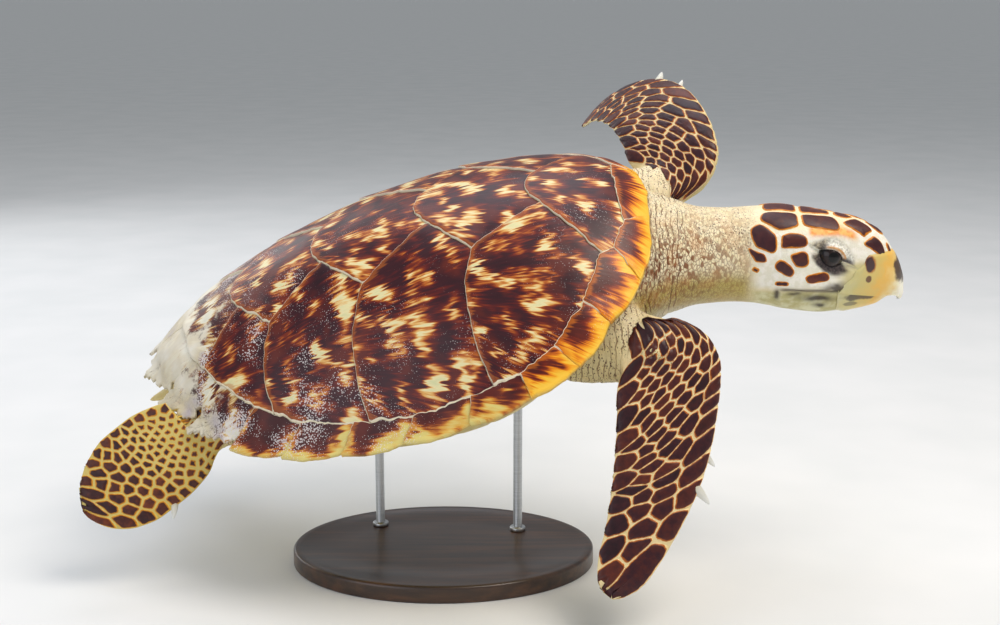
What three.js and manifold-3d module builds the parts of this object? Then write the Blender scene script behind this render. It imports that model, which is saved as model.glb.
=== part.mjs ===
// Hawksbill sea turtle, life size, swimming, on a plain display stand.
// Millimetres, +Z up. The shell has its own frame: x to the head, y to the left, z to the back.
// Places on the shell are fractions of its length: [from front to rear, from midline to the right].

import * as THREE from 'three';
import { mergeVertices } from 'three/addons/utils/BufferGeometryUtils.js';
import Module from 'manifold-3d';

const wasm = await Module();
wasm.setup();

// ---- driving dimensions ----

const shellLength = 560;
const gap = 0.3; // clearance between pieces that meet
const clearance = 0.45; // along the averaged normal, which leaves the gap at an edge too
const degree = Math.PI / 180;

const tilt = { yaw: -5.8 * degree, pitch: 18.8 * degree, bank: 26.5 * degree };

const outline = {
  widest: 0.375, // half width
  lean: 0.8, // moves the widest place forward
  front: { curve: 2.2, round: 0.678 },
  rear: { curve: 2.6, round: 0.62 },
};

const dome = {
  ridge: 0.126,
  rimDrop: 0.09,
  crown: 1.99,
  ridgeLean: 0.88,
  ridgeRound: 0.8,
  rimLean: 0.9,
  rimRound: 0.6,
  flare: 0.45, // slope of the rim outside the outline
  thickness: 8,
  rimThickness: 4,
};

const belly = { level: -0.245, flatTo: 0.5, reach: 0.955, plate: 5 };

const sidesAround = 28;
const shellRings = [0.22, 0.45, 0.66, 0.83, belly.reach, 1.0, 1.2];
const trunkRings = shellRings.filter((share) => share <= belly.reach);

// ---- where the seams between the scutes meet ----

const corner = {
  nuchal: [0.055, 0.097],
  shoulder: [0.105, 0.163],
  v1v2: [0.187, 0.052],
  c1c2: [0.32, 0.134],
  v2v3: [0.391, 0.055],
  c2c3: [0.525, 0.14],
  v3v4: [0.602, 0.058],
  c3c4: [0.718, 0.132],
  v4v5: [0.784, 0.057],
  c4v5: [0.874, 0.134],
};

const rimCorner = [
  [0.055, 0.097],
  [0.083, 0.15],
  [0.155, 0.245],
  [0.225, 0.305],
  [0.29, 0.334],
  [0.385, 0.346],
  [0.489, 0.348],
  [0.594, 0.331],
  [0.696, 0.3],
  [0.778, 0.246],
  [0.85, 0.17],
  [0.9, 0.098],
  [0.925, 0],
];

const rimTip = [
  [0.012, 0.072],
  [0.055, 0.196],
  [0.122, 0.27],
  [0.192, 0.332],
  [0.285, 0.364],
  [0.4, 0.377],
  [0.521, 0.375],
  [0.636, 0.361],
  [0.749, 0.33],
  [0.851, 0.277],
  [0.938, 0.198],
  [1.0, 0.112],
  [1.036, 0.034],
];

// share of a seam where the next scute's free edge starts: the rear edges step in behind a tip
const freeEdgeStart = [1, 1, 0.98, 0.97, 0.96, 0.94, 0.92, 0.88, 0.84, 0.78, 0.74, 0.72];
const notch = [1.0, 0]; // between the last two scutes

// where a seam of the inner rows meets the rim, by the marginal scute it meets
const rimMeeting = {
  1: corner.shoulder,
  4: [0.341, 0.341],
  6: [0.568, 0.336],
  8: [0.743, 0.268],
  10: corner.c4v5,
};

const plastronEdge = [
  [0.095, 0],
  [0.1, 0.07],
  [0.15, 0.135],
  [0.25, 0.185],
  [0.32, 0.23],
  [0.36, 0.33],
  [0.6, 0.325],
  [0.67, 0.22],
  [0.76, 0.16],
  [0.86, 0.115],
  [0.915, 0.05],
  [0.92, 0],
];

// ---- neck, head and tail ----

const neckStations = [
  { at: [150, 8, 5], wide: 96, high: 62 },
  { at: [212, 4, 6], wide: 98, high: 76 },
  { at: [252, 1, 12], wide: 88, high: 76 },
  { at: [288, -2, 20], wide: 66, high: 62 },
  { at: [321, -4, 20.5], wide: 52, high: 52 },
  { at: [350, -5, 21.5], wide: 47, high: 50.5 },
];

const headPlace = { at: [375, -7, 19], yaw: -7 * degree, bank: 8 * degree };

// x from the nape to the beak's tip, z of the crown and of the chin, half width
const headStations = [
  [0, 54.5, -47.5, 46],
  [15, 56, -49.5, 46.5],
  [32, 56, -53, 46.5],
  [53, 53.5, -55.5, 45],
  [74, 50.5, -56.5, 42],
  [90, 48, -54.5, 38],
  [105, 44.5, -51.5, 32.5],
  [119, 38.5, -48.5, 26],
  [129, 31.5, -45.5, 21],
  [137.5, 22, -40.5, 16],
  [146, 7, -38, 10.5],
  [151.5, -6, -39, 7],
  [155.5, -21, -40, 3.5],
];
const headSquareness = 2.3;
const headSides = 18;

// the mouth slopes down to the front from where the horny sheaths begin; the upper sheath ends
// along a line from there up to its top, below the nostrils
const mouth = { sheathBack: [88, -24], slope: 11.5 * degree, sheathTop: [118, 13] };
const eye = { radius: 14.5, at: [77, 27.3, 13] };

const tailPath = { root: [-225, 0, -52], tip: [-318, 0, -60], wide: 21, high: 15 };

// ---- paddles: distance out along the paddle, leading edge, trailing edge, half thickness ----

const frontPaddle = [
  [-14, 18, -6, 9],
  [-6, 48, -14, 12],
  [6, 64, -19, 13],
  [28, 75, -24, 13],
  [60, 77.5, -26.5, 11.5],
  [95, 77, -22, 10],
  [130, 73.5, -18.5, 8.5],
  [165, 65, -17, 7],
  [200, 52.5, -17.5, 5.8],
  [230, 39.5, -20, 4.6],
  [252, 26, -17.5, 3.6],
  [264, 13, -9, 2.6],
];
const frontBendFrom = 40;
const frontLength = 268;

const rearPaddle = [
  [-34, 22, -22, 14],
  [-8, 33, -34, 13.5],
  [20, 47, -47, 11],
  [50, 52, -52.5, 9],
  [80, 52.5, -51.5, 7],
  [105, 47, -43.5, 5.5],
  [126, 34, -29, 4.2],
  [140, 16, -12, 2.8],
];
const rearBendFrom = 30;
const rearLength = 146;

// each limb: paddle origin, its outward and leading directions, bends, and the shoulder or hip in the shell
const limbs = {
  flipper_front_right: {
    paddle: frontPaddle, from: frontBendFrom, length: frontLength,
    at: [260, -114.5, -33], out: [-0.15, -0.31, -0.94], lead: [0.98, 0.08, -0.19],
    flap: 4 * degree, sweep: 1.5 * degree, twist: 5 * degree,
    joint: [150, -85, -66], jointRadius: 46, elbow: [24, 18], elbowRadius: 31,
    claws: [{ along: 147, length: 17, radius: 4.6 }, { along: 116, length: 10, radius: 3.2 }],
  },
  flipper_front_left: {
    paddle: frontPaddle, from: frontBendFrom, length: frontLength,
    at: [294.5, 97, 67.5], out: [-0.24, 0.61, 0.76], lead: [0.84, -0.27, 0.48],
    flap: 54 * degree, sweep: 66.5 * degree, twist: 45 * degree,
    joint: [150, 85, -62], jointRadius: 48, elbow: [12, 6], elbowRadius: 32,
    claws: [{ along: 147, length: 17, radius: 4.6 }, { along: 116, length: 10, radius: 3.2 }],
  },
  flipper_rear_right: {
    paddle: rearPaddle, from: rearBendFrom, length: rearLength,
    at: [-208, -55, -156], out: [-0.8, -0.125, -0.587], lead: [0.6, -0.166, -0.782],
    flap: 8 * degree, sweep: 0, twist: 0,
    joint: [-150, -70, -72], jointRadius: 34, elbow: [-10, 0], elbowRadius: 26,
    claws: [{ along: 62, length: 13, radius: 3.6 }],
  },
  flipper_rear_left: {
    paddle: rearPaddle, from: rearBendFrom, length: rearLength,
    at: [-190, 142, -112], out: [-0.5, 0.66, -0.56], lead: [0.5, 0.74, 0.45],
    flap: 8 * degree, sweep: 0, twist: 0,
    joint: [-150, 70, -72], jointRadius: 34, elbow: [-10, 0], elbowRadius: 26,
    claws: [{ along: 62, length: 13, radius: 3.6 }],
  },
};

// ---- stand ----

const stand = {
  floor: -322,
  baseCentre: [48, 6],
  baseLength: 330,
  baseDepth: 250,
  baseThickness: 18,
  baseBevel: 3,
  rodRadius: 5,
  padRadius: 15,
  padHeight: 9,
  rodAlong: { stand_rod_front: 88, stand_rod_rear: -78 },
};

// ---- geometry helpers ----

const clamp = (value, low, high) => Math.min(Math.max(value, low), high);
const vector = (list) => new THREE.Vector3(...list);

function signedVolume(position, index) {
  const a = new THREE.Vector3();
  const b = new THREE.Vector3();
  const c = new THREE.Vector3();
  let sum = 0;
  for (let i = 0; i < index.count; i += 3) {
    a.fromBufferAttribute(position, index.getX(i));
    b.fromBufferAttribute(position, index.getX(i + 1));
    c.fromBufferAttribute(position, index.getX(i + 2));
    sum += a.dot(b.cross(c));
  }
  return sum / 6;
}

// A closed body from points and faces, turned so that its faces point out
function closedGeometry(points, faces) {
  const geometry = new THREE.BufferGeometry();
  geometry.setAttribute('position', new THREE.Float32BufferAttribute(points.flat(), 3));
  geometry.setIndex(faces.flat());
  if (signedVolume(geometry.attributes.position, geometry.index) < 0) {
    geometry.setIndex(faces.map(([a, b, c]) => [a, c, b]).flat());
  }
  return geometry;
}

// A solid from a closed geometry; grow moves its whole surface out
function solidOf(geometry, matrix, grow = 0) {
  const bare = geometry.clone();
  bare.deleteAttribute('normal');
  bare.deleteAttribute('uv');
  if (matrix) bare.applyMatrix4(matrix);
  const merged = mergeVertices(bare, 1e-3);
  if (grow > 0) {
    merged.computeVertexNormals();
    const { position, normal } = merged.attributes;
    position.array.forEach((value, i) => {
      position.array[i] = value + normal.array[i] * grow;
    });
  }
  return new wasm.Manifold(new wasm.Mesh({
    numProp: 3,
    vertProperties: new Float32Array(merged.attributes.position.array),
    triVerts: new Uint32Array(merged.index.array),
  }));
}

function geometryOf(solid) {
  const { vertProperties, triVerts } = solid.getMesh();
  const geometry = new THREE.BufferGeometry();
  geometry.setAttribute('position', new THREE.BufferAttribute(new Float32Array(vertProperties), 3));
  geometry.setIndex(new THREE.BufferAttribute(new Uint32Array(triVerts), 1));
  geometry.computeVertexNormals();
  return geometry;
}

const largest = (solid) => solid.decompose().sort((a, b) => b.volume() - a.volume())[0];
const cutBy = (solid, others) => largest(others.reduce((left, other) => left.subtract(other), solid));

// A tube-like body through rings with the same number of points, closed by a fan at each end
function loft(rings) {
  const sides = rings[0].length;
  const points = rings.flat().map((p) => p.toArray());
  const faces = [];
  for (let r = 0; r + 1 < rings.length; r += 1) {
    for (let s = 0; s < sides; s += 1) {
      const a = r * sides + s;
      const b = r * sides + ((s + 1) % sides);
      faces.push([a, b, b + sides], [a, b + sides, a + sides]);
    }
  }
  const ends = [rings[0], rings[rings.length - 1]];
  ends.forEach((ring, end) => {
    const centre = ring.reduce((sum, p) => sum.add(p), new THREE.Vector3()).divideScalar(sides);
    const hub = points.push(centre.toArray()) - 1;
    const first = end === 0 ? 0 : (rings.length - 1) * sides;
    for (let s = 0; s < sides; s += 1) {
      const a = first + s;
      const b = first + ((s + 1) % sides);
      faces.push(end === 0 ? [hub, b, a] : [hub, a, b]);
    }
  });
  return closedGeometry(points, faces);
}

// One closed ring round a centre, squarer than an ellipse when power is over 2
function ovalRing(centre, side, up, wide, high, sides, power = 2) {
  return Array.from({ length: sides }, (_, i) => {
    const turn = (i / sides) * 2 * Math.PI;
    const c = Math.cos(turn);
    const s = Math.sin(turn);
    const across = Math.sign(c) * Math.abs(c) ** (2 / power) * wide;
    const upward = Math.sign(s) * Math.abs(s) ** (2 / power) * high;
    return centre.clone().addScaledVector(side, across).addScaledVector(up, upward);
  });
}

// ---- shell surfaces ----

function halfWidth(along) {
  const leant = clamp(along, 0, 1) ** outline.lean;
  const { curve, round } = leant < 0.5 ? outline.front : outline.rear;
  return outline.widest * Math.max(1 - Math.abs(2 * leant - 1) ** curve, 0) ** round;
}

function domeHeight(along, across) {
  const a = clamp(along, 0.001, 0.999);
  const ridge = dome.ridge * Math.sin(Math.PI * a ** dome.ridgeLean) ** dome.ridgeRound;
  const rim = -dome.rimDrop * Math.sin(Math.PI * a ** dome.rimLean) ** dome.rimRound;
  const out = clamp(Math.abs(across) / Math.max(halfWidth(a), 0.02), 0, 1);
  return shellLength * (rim + (ridge - rim) * (1 - out ** dome.crown));
}

const shellPlace = ([along, right]) => [(0.5 - along) * shellLength, -right * shellLength];
const smooth = (low, high, value) => {
  const t = clamp((value - low) / (high - low), 0, 1);
  return t * t * (3 - 2 * t);
};

// Place and height of the dome on a ring that is a share of the outline, round from the front
function domePoint(share, turn) {
  const along = (1 - Math.cos(turn)) / 2;
  const right = Math.sign(Math.sin(turn)) * halfWidth(along);
  const inside = Math.min(share, 1);
  const place = [0.5 + (along - 0.5) * share, right * share];
  const reach = Math.hypot(along - 0.5, right) * shellLength;
  const height = domeHeight(0.5 + (along - 0.5) * inside, right * inside);
  return { place: shellPlace(place), height: height - Math.max(share - 1, 0) * reach * dome.flare };
}

function skinDepth(share) {
  return dome.thickness + (dome.rimThickness - dome.thickness) * smooth(0.88, 1.1, share);
}

function bellyHeight(share, turn) {
  const edge = domePoint(belly.reach, turn).height - skinDepth(belly.reach);
  const fall = 1 - smooth(belly.flatTo, belly.reach, share);
  return edge + (belly.level * shellLength - edge) * fall;
}

// A closed body between two height fields over the shell's plan, out to its last ring
function disc(rings, top, bottom) {
  const points = [];
  const faces = [];
  const hub = { top: points.push([0, 0, top(0, 0)]) - 1, bottom: points.push([0, 0, bottom(0, 0)]) - 1 };
  const first = points.length;
  rings.forEach((share) => {
    for (let i = 0; i < sidesAround; i += 1) {
      const turn = (i / sidesAround) * 2 * Math.PI;
      const [x, y] = domePoint(share, turn).place;
      points.push([x, y, top(share, turn)], [x, y, bottom(share, turn)]);
    }
  });
  const at = (ring, i, layer) => first + (ring * sidesAround + (i % sidesAround)) * 2 + layer;
  for (let i = 0; i < sidesAround; i += 1) {
    faces.push([hub.top, at(0, i + 1, 0), at(0, i, 0)], [hub.bottom, at(0, i, 1), at(0, i + 1, 1)]);
    for (let r = 0; r + 1 < rings.length; r += 1) {
      faces.push([at(r, i, 0), at(r, i + 1, 0), at(r + 1, i + 1, 0)]);
      faces.push([at(r, i, 0), at(r + 1, i + 1, 0), at(r + 1, i, 0)]);
      faces.push([at(r, i, 1), at(r + 1, i + 1, 1), at(r, i + 1, 1)]);
      faces.push([at(r, i, 1), at(r + 1, i, 1), at(r + 1, i + 1, 1)]);
    }
    const last = rings.length - 1;
    faces.push([at(last, i, 0), at(last, i + 1, 0), at(last, i + 1, 1)]);
    faces.push([at(last, i, 0), at(last, i + 1, 1), at(last, i, 1)]);
  }
  return closedGeometry(points, faces);
}

const outerDome = (share, turn) => domePoint(share, turn).height;
const innerDome = (share, turn) => outerDome(share, turn) - skinDepth(share);

const shellBlank = disc(shellRings, outerDome, innerDome);
const trunkBody = disc(trunkRings, (s, t) => innerDome(s, t) - gap, bellyHeight);
const plastronBlank = disc(trunkRings, (s, t) => bellyHeight(s, t) - gap,
  (s, t) => bellyHeight(s, t) - gap - belly.plate);

// ---- scute outlines in plan ----

// A seam from one place to another, bowed to the rear by a share of its length
function seam(from, to, bow = 0, steps = 4) {
  const length = Math.hypot(to[0] - from[0], to[1] - from[1]);
  return Array.from({ length: steps }, (_, i) => {
    const t = i / steps;
    const lift = 4 * t * (1 - t) * bow * length;
    return [from[0] + (to[0] - from[0]) * t + lift, from[1] + (to[1] - from[1]) * t];
  });
}

const mirrored = (place) => [place[0], -place[1]];
const wholeOutline = (right) => [...right, ...right.slice().reverse().map(mirrored)
  .filter((place) => place[1] !== 0)];

// An outline in millimetres, drawn in on every side
function drawnIn(outlinePlaces, inset) {
  const ring = outlinePlaces.map((place) => new THREE.Vector2(...shellPlace(place)));
  if (THREE.ShapeUtils.area(ring) < 0) ring.reverse();
  return ring.map((point, i) => {
    const before = point.clone().sub(ring[(i + ring.length - 1) % ring.length]).normalize();
    const after = ring[(i + 1) % ring.length].clone().sub(point).normalize();
    const inward = new THREE.Vector2(-before.y - after.y, before.x + after.x);
    const stretch = Math.max(inward.lengthSq() / 2, 0.5);
    return point.clone().addScaledVector(inward, inset / stretch);
  });
}

function prism(outlinePlaces, inset) {
  const reach = shellLength / 2;
  const shape = new THREE.Shape(drawnIn(outlinePlaces, inset));
  const geometry = new THREE.ExtrudeGeometry(shape, { depth: 2 * reach, bevelEnabled: false });
  geometry.translate(0, 0, -reach);
  return solidOf(geometry);
}

const rearBow = 0.16;
const costalBow = 0.1;
const vertebralRow = [
  [[corner.nuchal, corner.shoulder, corner.v1v2], null],
  [[corner.v1v2, corner.c1c2, corner.v2v3], corner.v1v2],
  [[corner.v2v3, corner.c2c3, corner.v3v4], corner.v2v3],
  [[corner.v3v4, corner.c3c4, corner.v4v5], corner.v3v4],
];

// The rear edge of a vertebral scute, from its right corner to the midline
const vertebralRear = (place) => {
  const tip = [place[0] + 0.024, 0];
  return [place, [place[0] + 0.016, place[1] * 0.55], tip];
};

function vertebralOutlines() {
  const outlines = vertebralRow.map(([side, front]) => {
    const start = front ? vertebralRear(front).reverse() : [[0.055, 0]];
    const flank = front ? side.slice(1, -1) : [side[0], rimCorner[1], ...side.slice(1, -1)];
    return wholeOutline([...start, ...flank, ...vertebralRear(side[side.length - 1])]);
  });
  const last = [...vertebralRear(corner.v4v5).reverse(), corner.c4v5, ...rimCorner.slice(11)];
  return [...outlines, wholeOutline(last)];
}

function costalOutlines() {
  const inner = [
    [corner.shoulder, corner.v1v2, corner.c1c2],
    [corner.c1c2, corner.v2v3, corner.c2c3],
    [corner.c2c3, corner.v3v4, corner.c3c4],
    [corner.c3c4, corner.v4v5, corner.c4v5],
  ];
  const foot = Object.values(rimMeeting);
  const rimBetween = [[2, 3, 4], [5, 6], [7, 8], [9, 10]];
  return inner.map((side, i) => {
    const rim = rimBetween[i].map((k) => rimCorner[k]).reverse();
    const rear = i < 3 ? seam(side[2], foot[i + 1], costalBow) : [side[2]];
    const front = i > 0 ? seam(side[0], foot[i], costalBow).slice(1).reverse() : [];
    const footRear = i < 3 ? [foot[i + 1]] : [];
    const footFront = i > 0 ? [foot[i]] : [];
    return [side[0], side[1], ...rear, ...footRear, ...rim, ...footFront, ...front];
  });
}

// Marginal scutes from the nuchal to the tail: inner edge, seam out to the tip, free edge back
function marginalOutlines() {
  const onSeam = (k, share) => rimCorner[k].map((v, axis) => v + (rimTip[k][axis] - v) * share);
  return Array.from({ length: 12 }, (_, i) => {
    const inner = [rimCorner[i], ...(i in rimMeeting ? [rimMeeting[i]] : [])];
    const start = onSeam(i, freeEdgeStart[i]);
    if (i === 11) return [...inner, rimCorner[12], notch, rimTip[12], start];
    const tip = rimTip[i + 1];
    const bulge = 0.07;
    const free = [0.33, 0.66].map((t) => {
      const away = [tip[1] - start[1], start[0] - tip[0]].map((v) => -v * bulge * 4 * t * (1 - t));
      return [start[0] + (tip[0] - start[0]) * t + away[0], start[1] + (tip[1] - start[1]) * t + away[1]];
    });
    return [...inner, rimCorner[i + 1], tip, ...free.reverse(), start];
  });
}

const nuchalOutline = wholeOutline([[0.003, 0], rimTip[0], corner.nuchal]);

// ---- colours ----

const colour = {
  scute: 0x4a1f12,
  rim: 0x8a4315,
  tailScute: 0xb9a88c,
  skin: 0xd9c79c,
  paddle: 0x3f2320,
  belly: 0xe3cf8f,
  beak: 0xcaa25a,
  eye: 0x120c0c,
  claw: 0xe6dcc0,
  wood: 0x3b2a20,
  steel: 0xb8bcc0,
};

const finish = (name, roughness, metalness = 0) => new THREE.MeshStandardMaterial({
  color: colour[name], roughness, metalness, flatShading: true,
});

function piece(name, solid, material) {
  const mesh = new THREE.Mesh(geometryOf(solid), material);
  mesh.name = name;
  return mesh;
}

// ---- shell ----

const shell = new THREE.Group();
shell.rotation.set(tilt.bank, -tilt.pitch, tilt.yaw, 'ZYX');
shell.updateMatrixWorld(true);

const blank = solidOf(shellBlank);
const scuteFrom = (places) => largest(blank.intersect(prism(places, gap / 2)));

shell.add(piece('scute_nuchal', scuteFrom(nuchalOutline), finish('rim', 0.35)));
vertebralOutlines().forEach((places, i) => {
  shell.add(piece(`scute_vertebral_${i + 1}`, scuteFrom(places), finish('scute', 0.3)));
});
for (const side of ['right', 'left']) {
  const facing = (places) => (side === 'right' ? places : places.map(mirrored));
  costalOutlines().forEach((places, i) => {
    shell.add(piece(`scute_costal_${side}_${i + 1}`, scuteFrom(facing(places)), finish('scute', 0.3)));
  });
  marginalOutlines().forEach((places, i) => {
    const material = finish(i < 9 ? 'rim' : 'tailScute', 0.4);
    shell.add(piece(`scute_marginal_${side}_${i + 1}`, scuteFrom(facing(places)), material));
  });
}

const plastronPlan = prism(wholeOutline(plastronEdge), gap / 2);
shell.add(piece('plastron', largest(solidOf(plastronBlank).intersect(plastronPlan)), finish('belly', 0.45)));
shell.add(piece('trunk', solidOf(trunkBody), finish('skin', 0.6)));

// the shell and trunk with clearance all round, to cut what comes out of them
const inPlace = shell.matrixWorld;
const bodyClear = [shellBlank, trunkBody, plastronBlank].map((body) => solidOf(body, inPlace, clearance));

// ---- head and neck ----

const head = new THREE.Group();
head.position.set(...headPlace.at);
head.rotation.set(headPlace.bank, 0, headPlace.yaw, 'ZYX');
head.updateMatrixWorld(true);

const across = new THREE.Vector3(0, 1, 0);
const upward = new THREE.Vector3(0, 0, 1);

function headRing([x, crown, chin, wide]) {
  const centre = new THREE.Vector3(x, 0, (crown + chin) / 2);
  return ovalRing(centre, across, upward, wide, (crown - chin) / 2, headSides, headSquareness);
}

function box(low, high) {
  const size = high.map((v, i) => v - low[i]);
  const geometry = new THREE.BoxGeometry(...size);
  geometry.translate(...low.map((v, i) => v + size[i] / 2));
  return geometry;
}

const far = 200;
const wholeHead = solidOf(loft(headStations.map(headRing)));
const half = gap / 2;

// everything above the mouth's plane, below the nostrils and in front of the back of each sheath
const aboveMouth = (clear) => {
  const geometry = box([-far, -far, clear], [far, far, far]);
  geometry.rotateY(mouth.slope);
  geometry.translate(mouth.sheathBack[0], 0, mouth.sheathBack[1]);
  return solidOf(geometry);
};
const belowNose = (clear) => solidOf(box([-far, -far, -far], [far, far, mouth.sheathTop[1] - clear]));
const frontOfJaw = solidOf(box([headStations[9][0] + half, -far, -far], [far, far, far]));
const upperSheathZone = (clear) => {
  const [rise, run] = [1, 0].map((i) => mouth.sheathTop[i] - mouth.sheathBack[i]);
  const geometry = box([clear, -far, -far], [far, far, far]);
  geometry.rotateY(Math.atan2(run, rise));
  geometry.translate(mouth.sheathBack[0], 0, mouth.sheathBack[1]);
  return solidOf(geometry);
};
const lowerSheathZone = (clear) => (
  solidOf(box([mouth.sheathBack[0] + clear, -far, -far], [far, far, far])));

const upperBeak = wholeHead.intersect(upperSheathZone(half)).intersect(belowNose(half))
  .intersect(aboveMouth(half).add(frontOfJaw));
const lowerBeak = largest(wholeHead.intersect(lowerSheathZone(half)).subtract(aboveMouth(-half))
  .subtract(solidOf(box([headStations[9][0] - half, -far, -far], [far, far, far]))));
const eyeBall = (side, grow = 0) => {
  const geometry = new THREE.SphereGeometry(eye.radius, 12, 7);
  geometry.rotateX(Math.PI / 2);
  geometry.translate(eye.at[0], eye.at[1] * side, eye.at[2]);
  return solidOf(geometry, null, grow);
};
const sheathClear = upperSheathZone(-half).intersect(belowNose(-half))
  .intersect(aboveMouth(-half).add(frontOfJaw))
  .add(lowerSheathZone(-half).subtract(aboveMouth(half)));
const flesh = cutBy(wholeHead, [sheathClear, eyeBall(1, clearance), eyeBall(-1, clearance)]);

head.add(piece('head', flesh, finish('skin', 0.5)));
head.add(piece('beak_upper', largest(upperBeak), finish('beak', 0.4)));
head.add(piece('beak_lower', lowerBeak, finish('beak', 0.4)));
head.add(piece('eye_left', eyeBall(1), finish('eye', 0.1)));
head.add(piece('eye_right', eyeBall(-1), finish('eye', 0.1)));

function neckBody() {
  const rings = neckStations.map(({ at, wide, high }) => (
    ovalRing(vector(at), across, upward, wide, high, headSides)));
  const [x, ...size] = headStations[0];
  const last = headRing([x - gap, ...size]);
  rings.push(last.map((point) => point.applyMatrix4(head.matrixWorld)));
  return loft(rings);
}
const neck = cutBy(solidOf(neckBody()), bodyClear);

// ---- limbs ----

// Frames along a paddle: it bends out of its plane and back within it, and turns about its length
function paddleFrames(limb, stations) {
  const out = vector(limb.out).normalize();
  const lead = vector(limb.lead).addScaledVector(out, -vector(limb.lead).dot(out)).normalize();
  const face = out.clone().cross(lead);
  const step = 1;
  const bendAt = (p) => Math.max((p - limb.from) / (limb.length - limb.from), 0);
  const direction = (p) => {
    const flap = limb.flap * bendAt(p);
    const sweep = limb.sweep * bendAt(p);
    return new THREE.Vector3(Math.cos(flap) * Math.cos(sweep), -Math.sin(sweep) * Math.cos(flap), Math.sin(flap));
  };
  const spine = (p) => {
    const place = new THREE.Vector3(Math.min(p, 0), 0, 0);
    for (let q = 0; q < p; q += step) place.addScaledVector(direction(q + step / 2), Math.min(step, p - q));
    return place;
  };
  const toWorld = (local) => new THREE.Vector3().addScaledVector(out, local.x)
    .addScaledVector(lead, local.y).addScaledVector(face, local.z);
  return stations.map((p) => {
    const sweep = limb.sweep * bendAt(p);
    const twist = limb.twist * bendAt(p);
    const chord = new THREE.Vector3(Math.sin(sweep) * Math.cos(twist), Math.cos(sweep) * Math.cos(twist),
      Math.sin(twist));
    const normal = direction(p).cross(chord).normalize();
    return {
      at: toWorld(spine(p)).add(vector(limb.at)),
      chord: toWorld(chord),
      normal: toWorld(normal),
      along: toWorld(direction(p)),
    };
  });
}

function paddleBody(limb) {
  const sides = 10;
  const frames = paddleFrames(limb, limb.paddle.map(([p]) => p));
  const rings = limb.paddle.map(([, front, rear, thick], i) => {
    const { at, chord, normal } = frames[i];
    return Array.from({ length: sides }, (_, k) => {
      const turn = (k / sides) * 2 * Math.PI;
      const along = (front + rear) / 2 + ((front - rear) / 2) * Math.cos(turn);
      const lift = thick * (0.8 + 0.35 * Math.cos(turn)) * Math.sin(turn);
      return at.clone().addScaledVector(chord, along).addScaledVector(normal, lift);
    });
  });
  return loft(rings);
}

// The upper arm or thigh, from inside the trunk to the paddle
function armBody(limb) {
  const joint = vector(limb.joint).applyMatrix4(inPlace);
  const [frame] = paddleFrames(limb, [limb.elbow[0]]);
  const elbow = frame.at.clone().addScaledVector(frame.chord, limb.elbow[1]);
  const line = elbow.clone().sub(joint);
  const side = line.clone().normalize().cross(frame.normal).normalize();
  const up = side.clone().cross(line).normalize();
  const shares = [0, 0.35, 0.7, 1, 1.14];
  const fade = [1, 1.05, 0.95, 0.8, 0.3];
  const rings = shares.map((share, i) => {
    const radius = limb.jointRadius + (limb.elbowRadius - limb.jointRadius) * Math.min(share, 1);
    const centre = joint.clone().addScaledVector(line, share);
    return ovalRing(centre, side, up, radius * fade[i] * 1.15, radius * fade[i] * (1 - 0.35 * share), 10);
  });
  return solidOf(loft(rings));
}

function clawBody(limb, { along, length, radius }) {
  const [frame] = paddleFrames(limb, [along]);
  const after = limb.paddle.findIndex(([p]) => p > along);
  const [p0, front0] = limb.paddle[after - 1];
  const [p1, front1] = limb.paddle[after];
  const edge = front0 + ((front1 - front0) * (along - p0)) / (p1 - p0);
  const geometry = new THREE.ConeGeometry(radius, length, 8);
  const direction = frame.chord.clone().multiplyScalar(0.85).addScaledVector(frame.along, 0.55).normalize();
  geometry.applyQuaternion(new THREE.Quaternion().setFromUnitVectors(new THREE.Vector3(0, 1, 0), direction));
  const middle = frame.at.clone().addScaledVector(frame.chord, edge - radius * 0.6)
    .addScaledVector(direction, length / 2);
  geometry.translate(...middle.toArray());
  return solidOf(geometry);
}

const turtle = new THREE.Group();
turtle.add(shell, head);
turtle.add(piece('neck', neck, finish('skin', 0.6)));

const neckClear = solidOf(neckBody(), null, clearance);
for (const [name, limb] of Object.entries(limbs)) {
  const paddle = paddleBody(limb);
  const whole = solidOf(paddle).add(armBody(limb));
  turtle.add(piece(name, cutBy(whole, [...bodyClear, neckClear]), finish('paddle', 0.45)));
  const clear = solidOf(paddle, null, clearance);
  limb.claws.forEach((claw, i) => {
    const clawName = `${name.replace('flipper', 'claw')}_${i + 1}`;
    turtle.add(piece(clawName, cutBy(clawBody(limb, claw), [clear]), finish('claw', 0.35)));
  });
}

// ---- tail ----

function tailBody() {
  const root = vector(tailPath.root);
  const tip = vector(tailPath.tip);
  const shares = [0, 0.45, 0.8, 1];
  const fade = [1, 0.72, 0.36, 0.1];
  const rings = shares.map((share, i) => ovalRing(root.clone().lerp(tip, share), across, upward,
    tailPath.wide * fade[i], tailPath.high * fade[i], 10));
  return solidOf(loft(rings), inPlace);
}
turtle.add(piece('tail', cutBy(tailBody(), bodyClear), finish('skin', 0.6)));

// ---- stand ----

function baseBody() {
  const shape = new THREE.Shape();
  const bevel = stand.baseBevel;
  const [cx, cy] = stand.baseCentre;
  shape.absellipse(cx, cy, stand.baseLength / 2 - bevel, stand.baseDepth / 2 - bevel, 0, 2 * Math.PI);
  const geometry = new THREE.ExtrudeGeometry(shape, {
    depth: stand.baseThickness - 2 * bevel, curveSegments: 14,
    bevelThickness: bevel, bevelSize: bevel, bevelSegments: 1,
  });
  geometry.translate(0, 0, stand.floor + bevel);
  return solidOf(geometry);
}
turtle.add(piece('stand_base', baseBody(), finish('wood', 0.5)));

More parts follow.
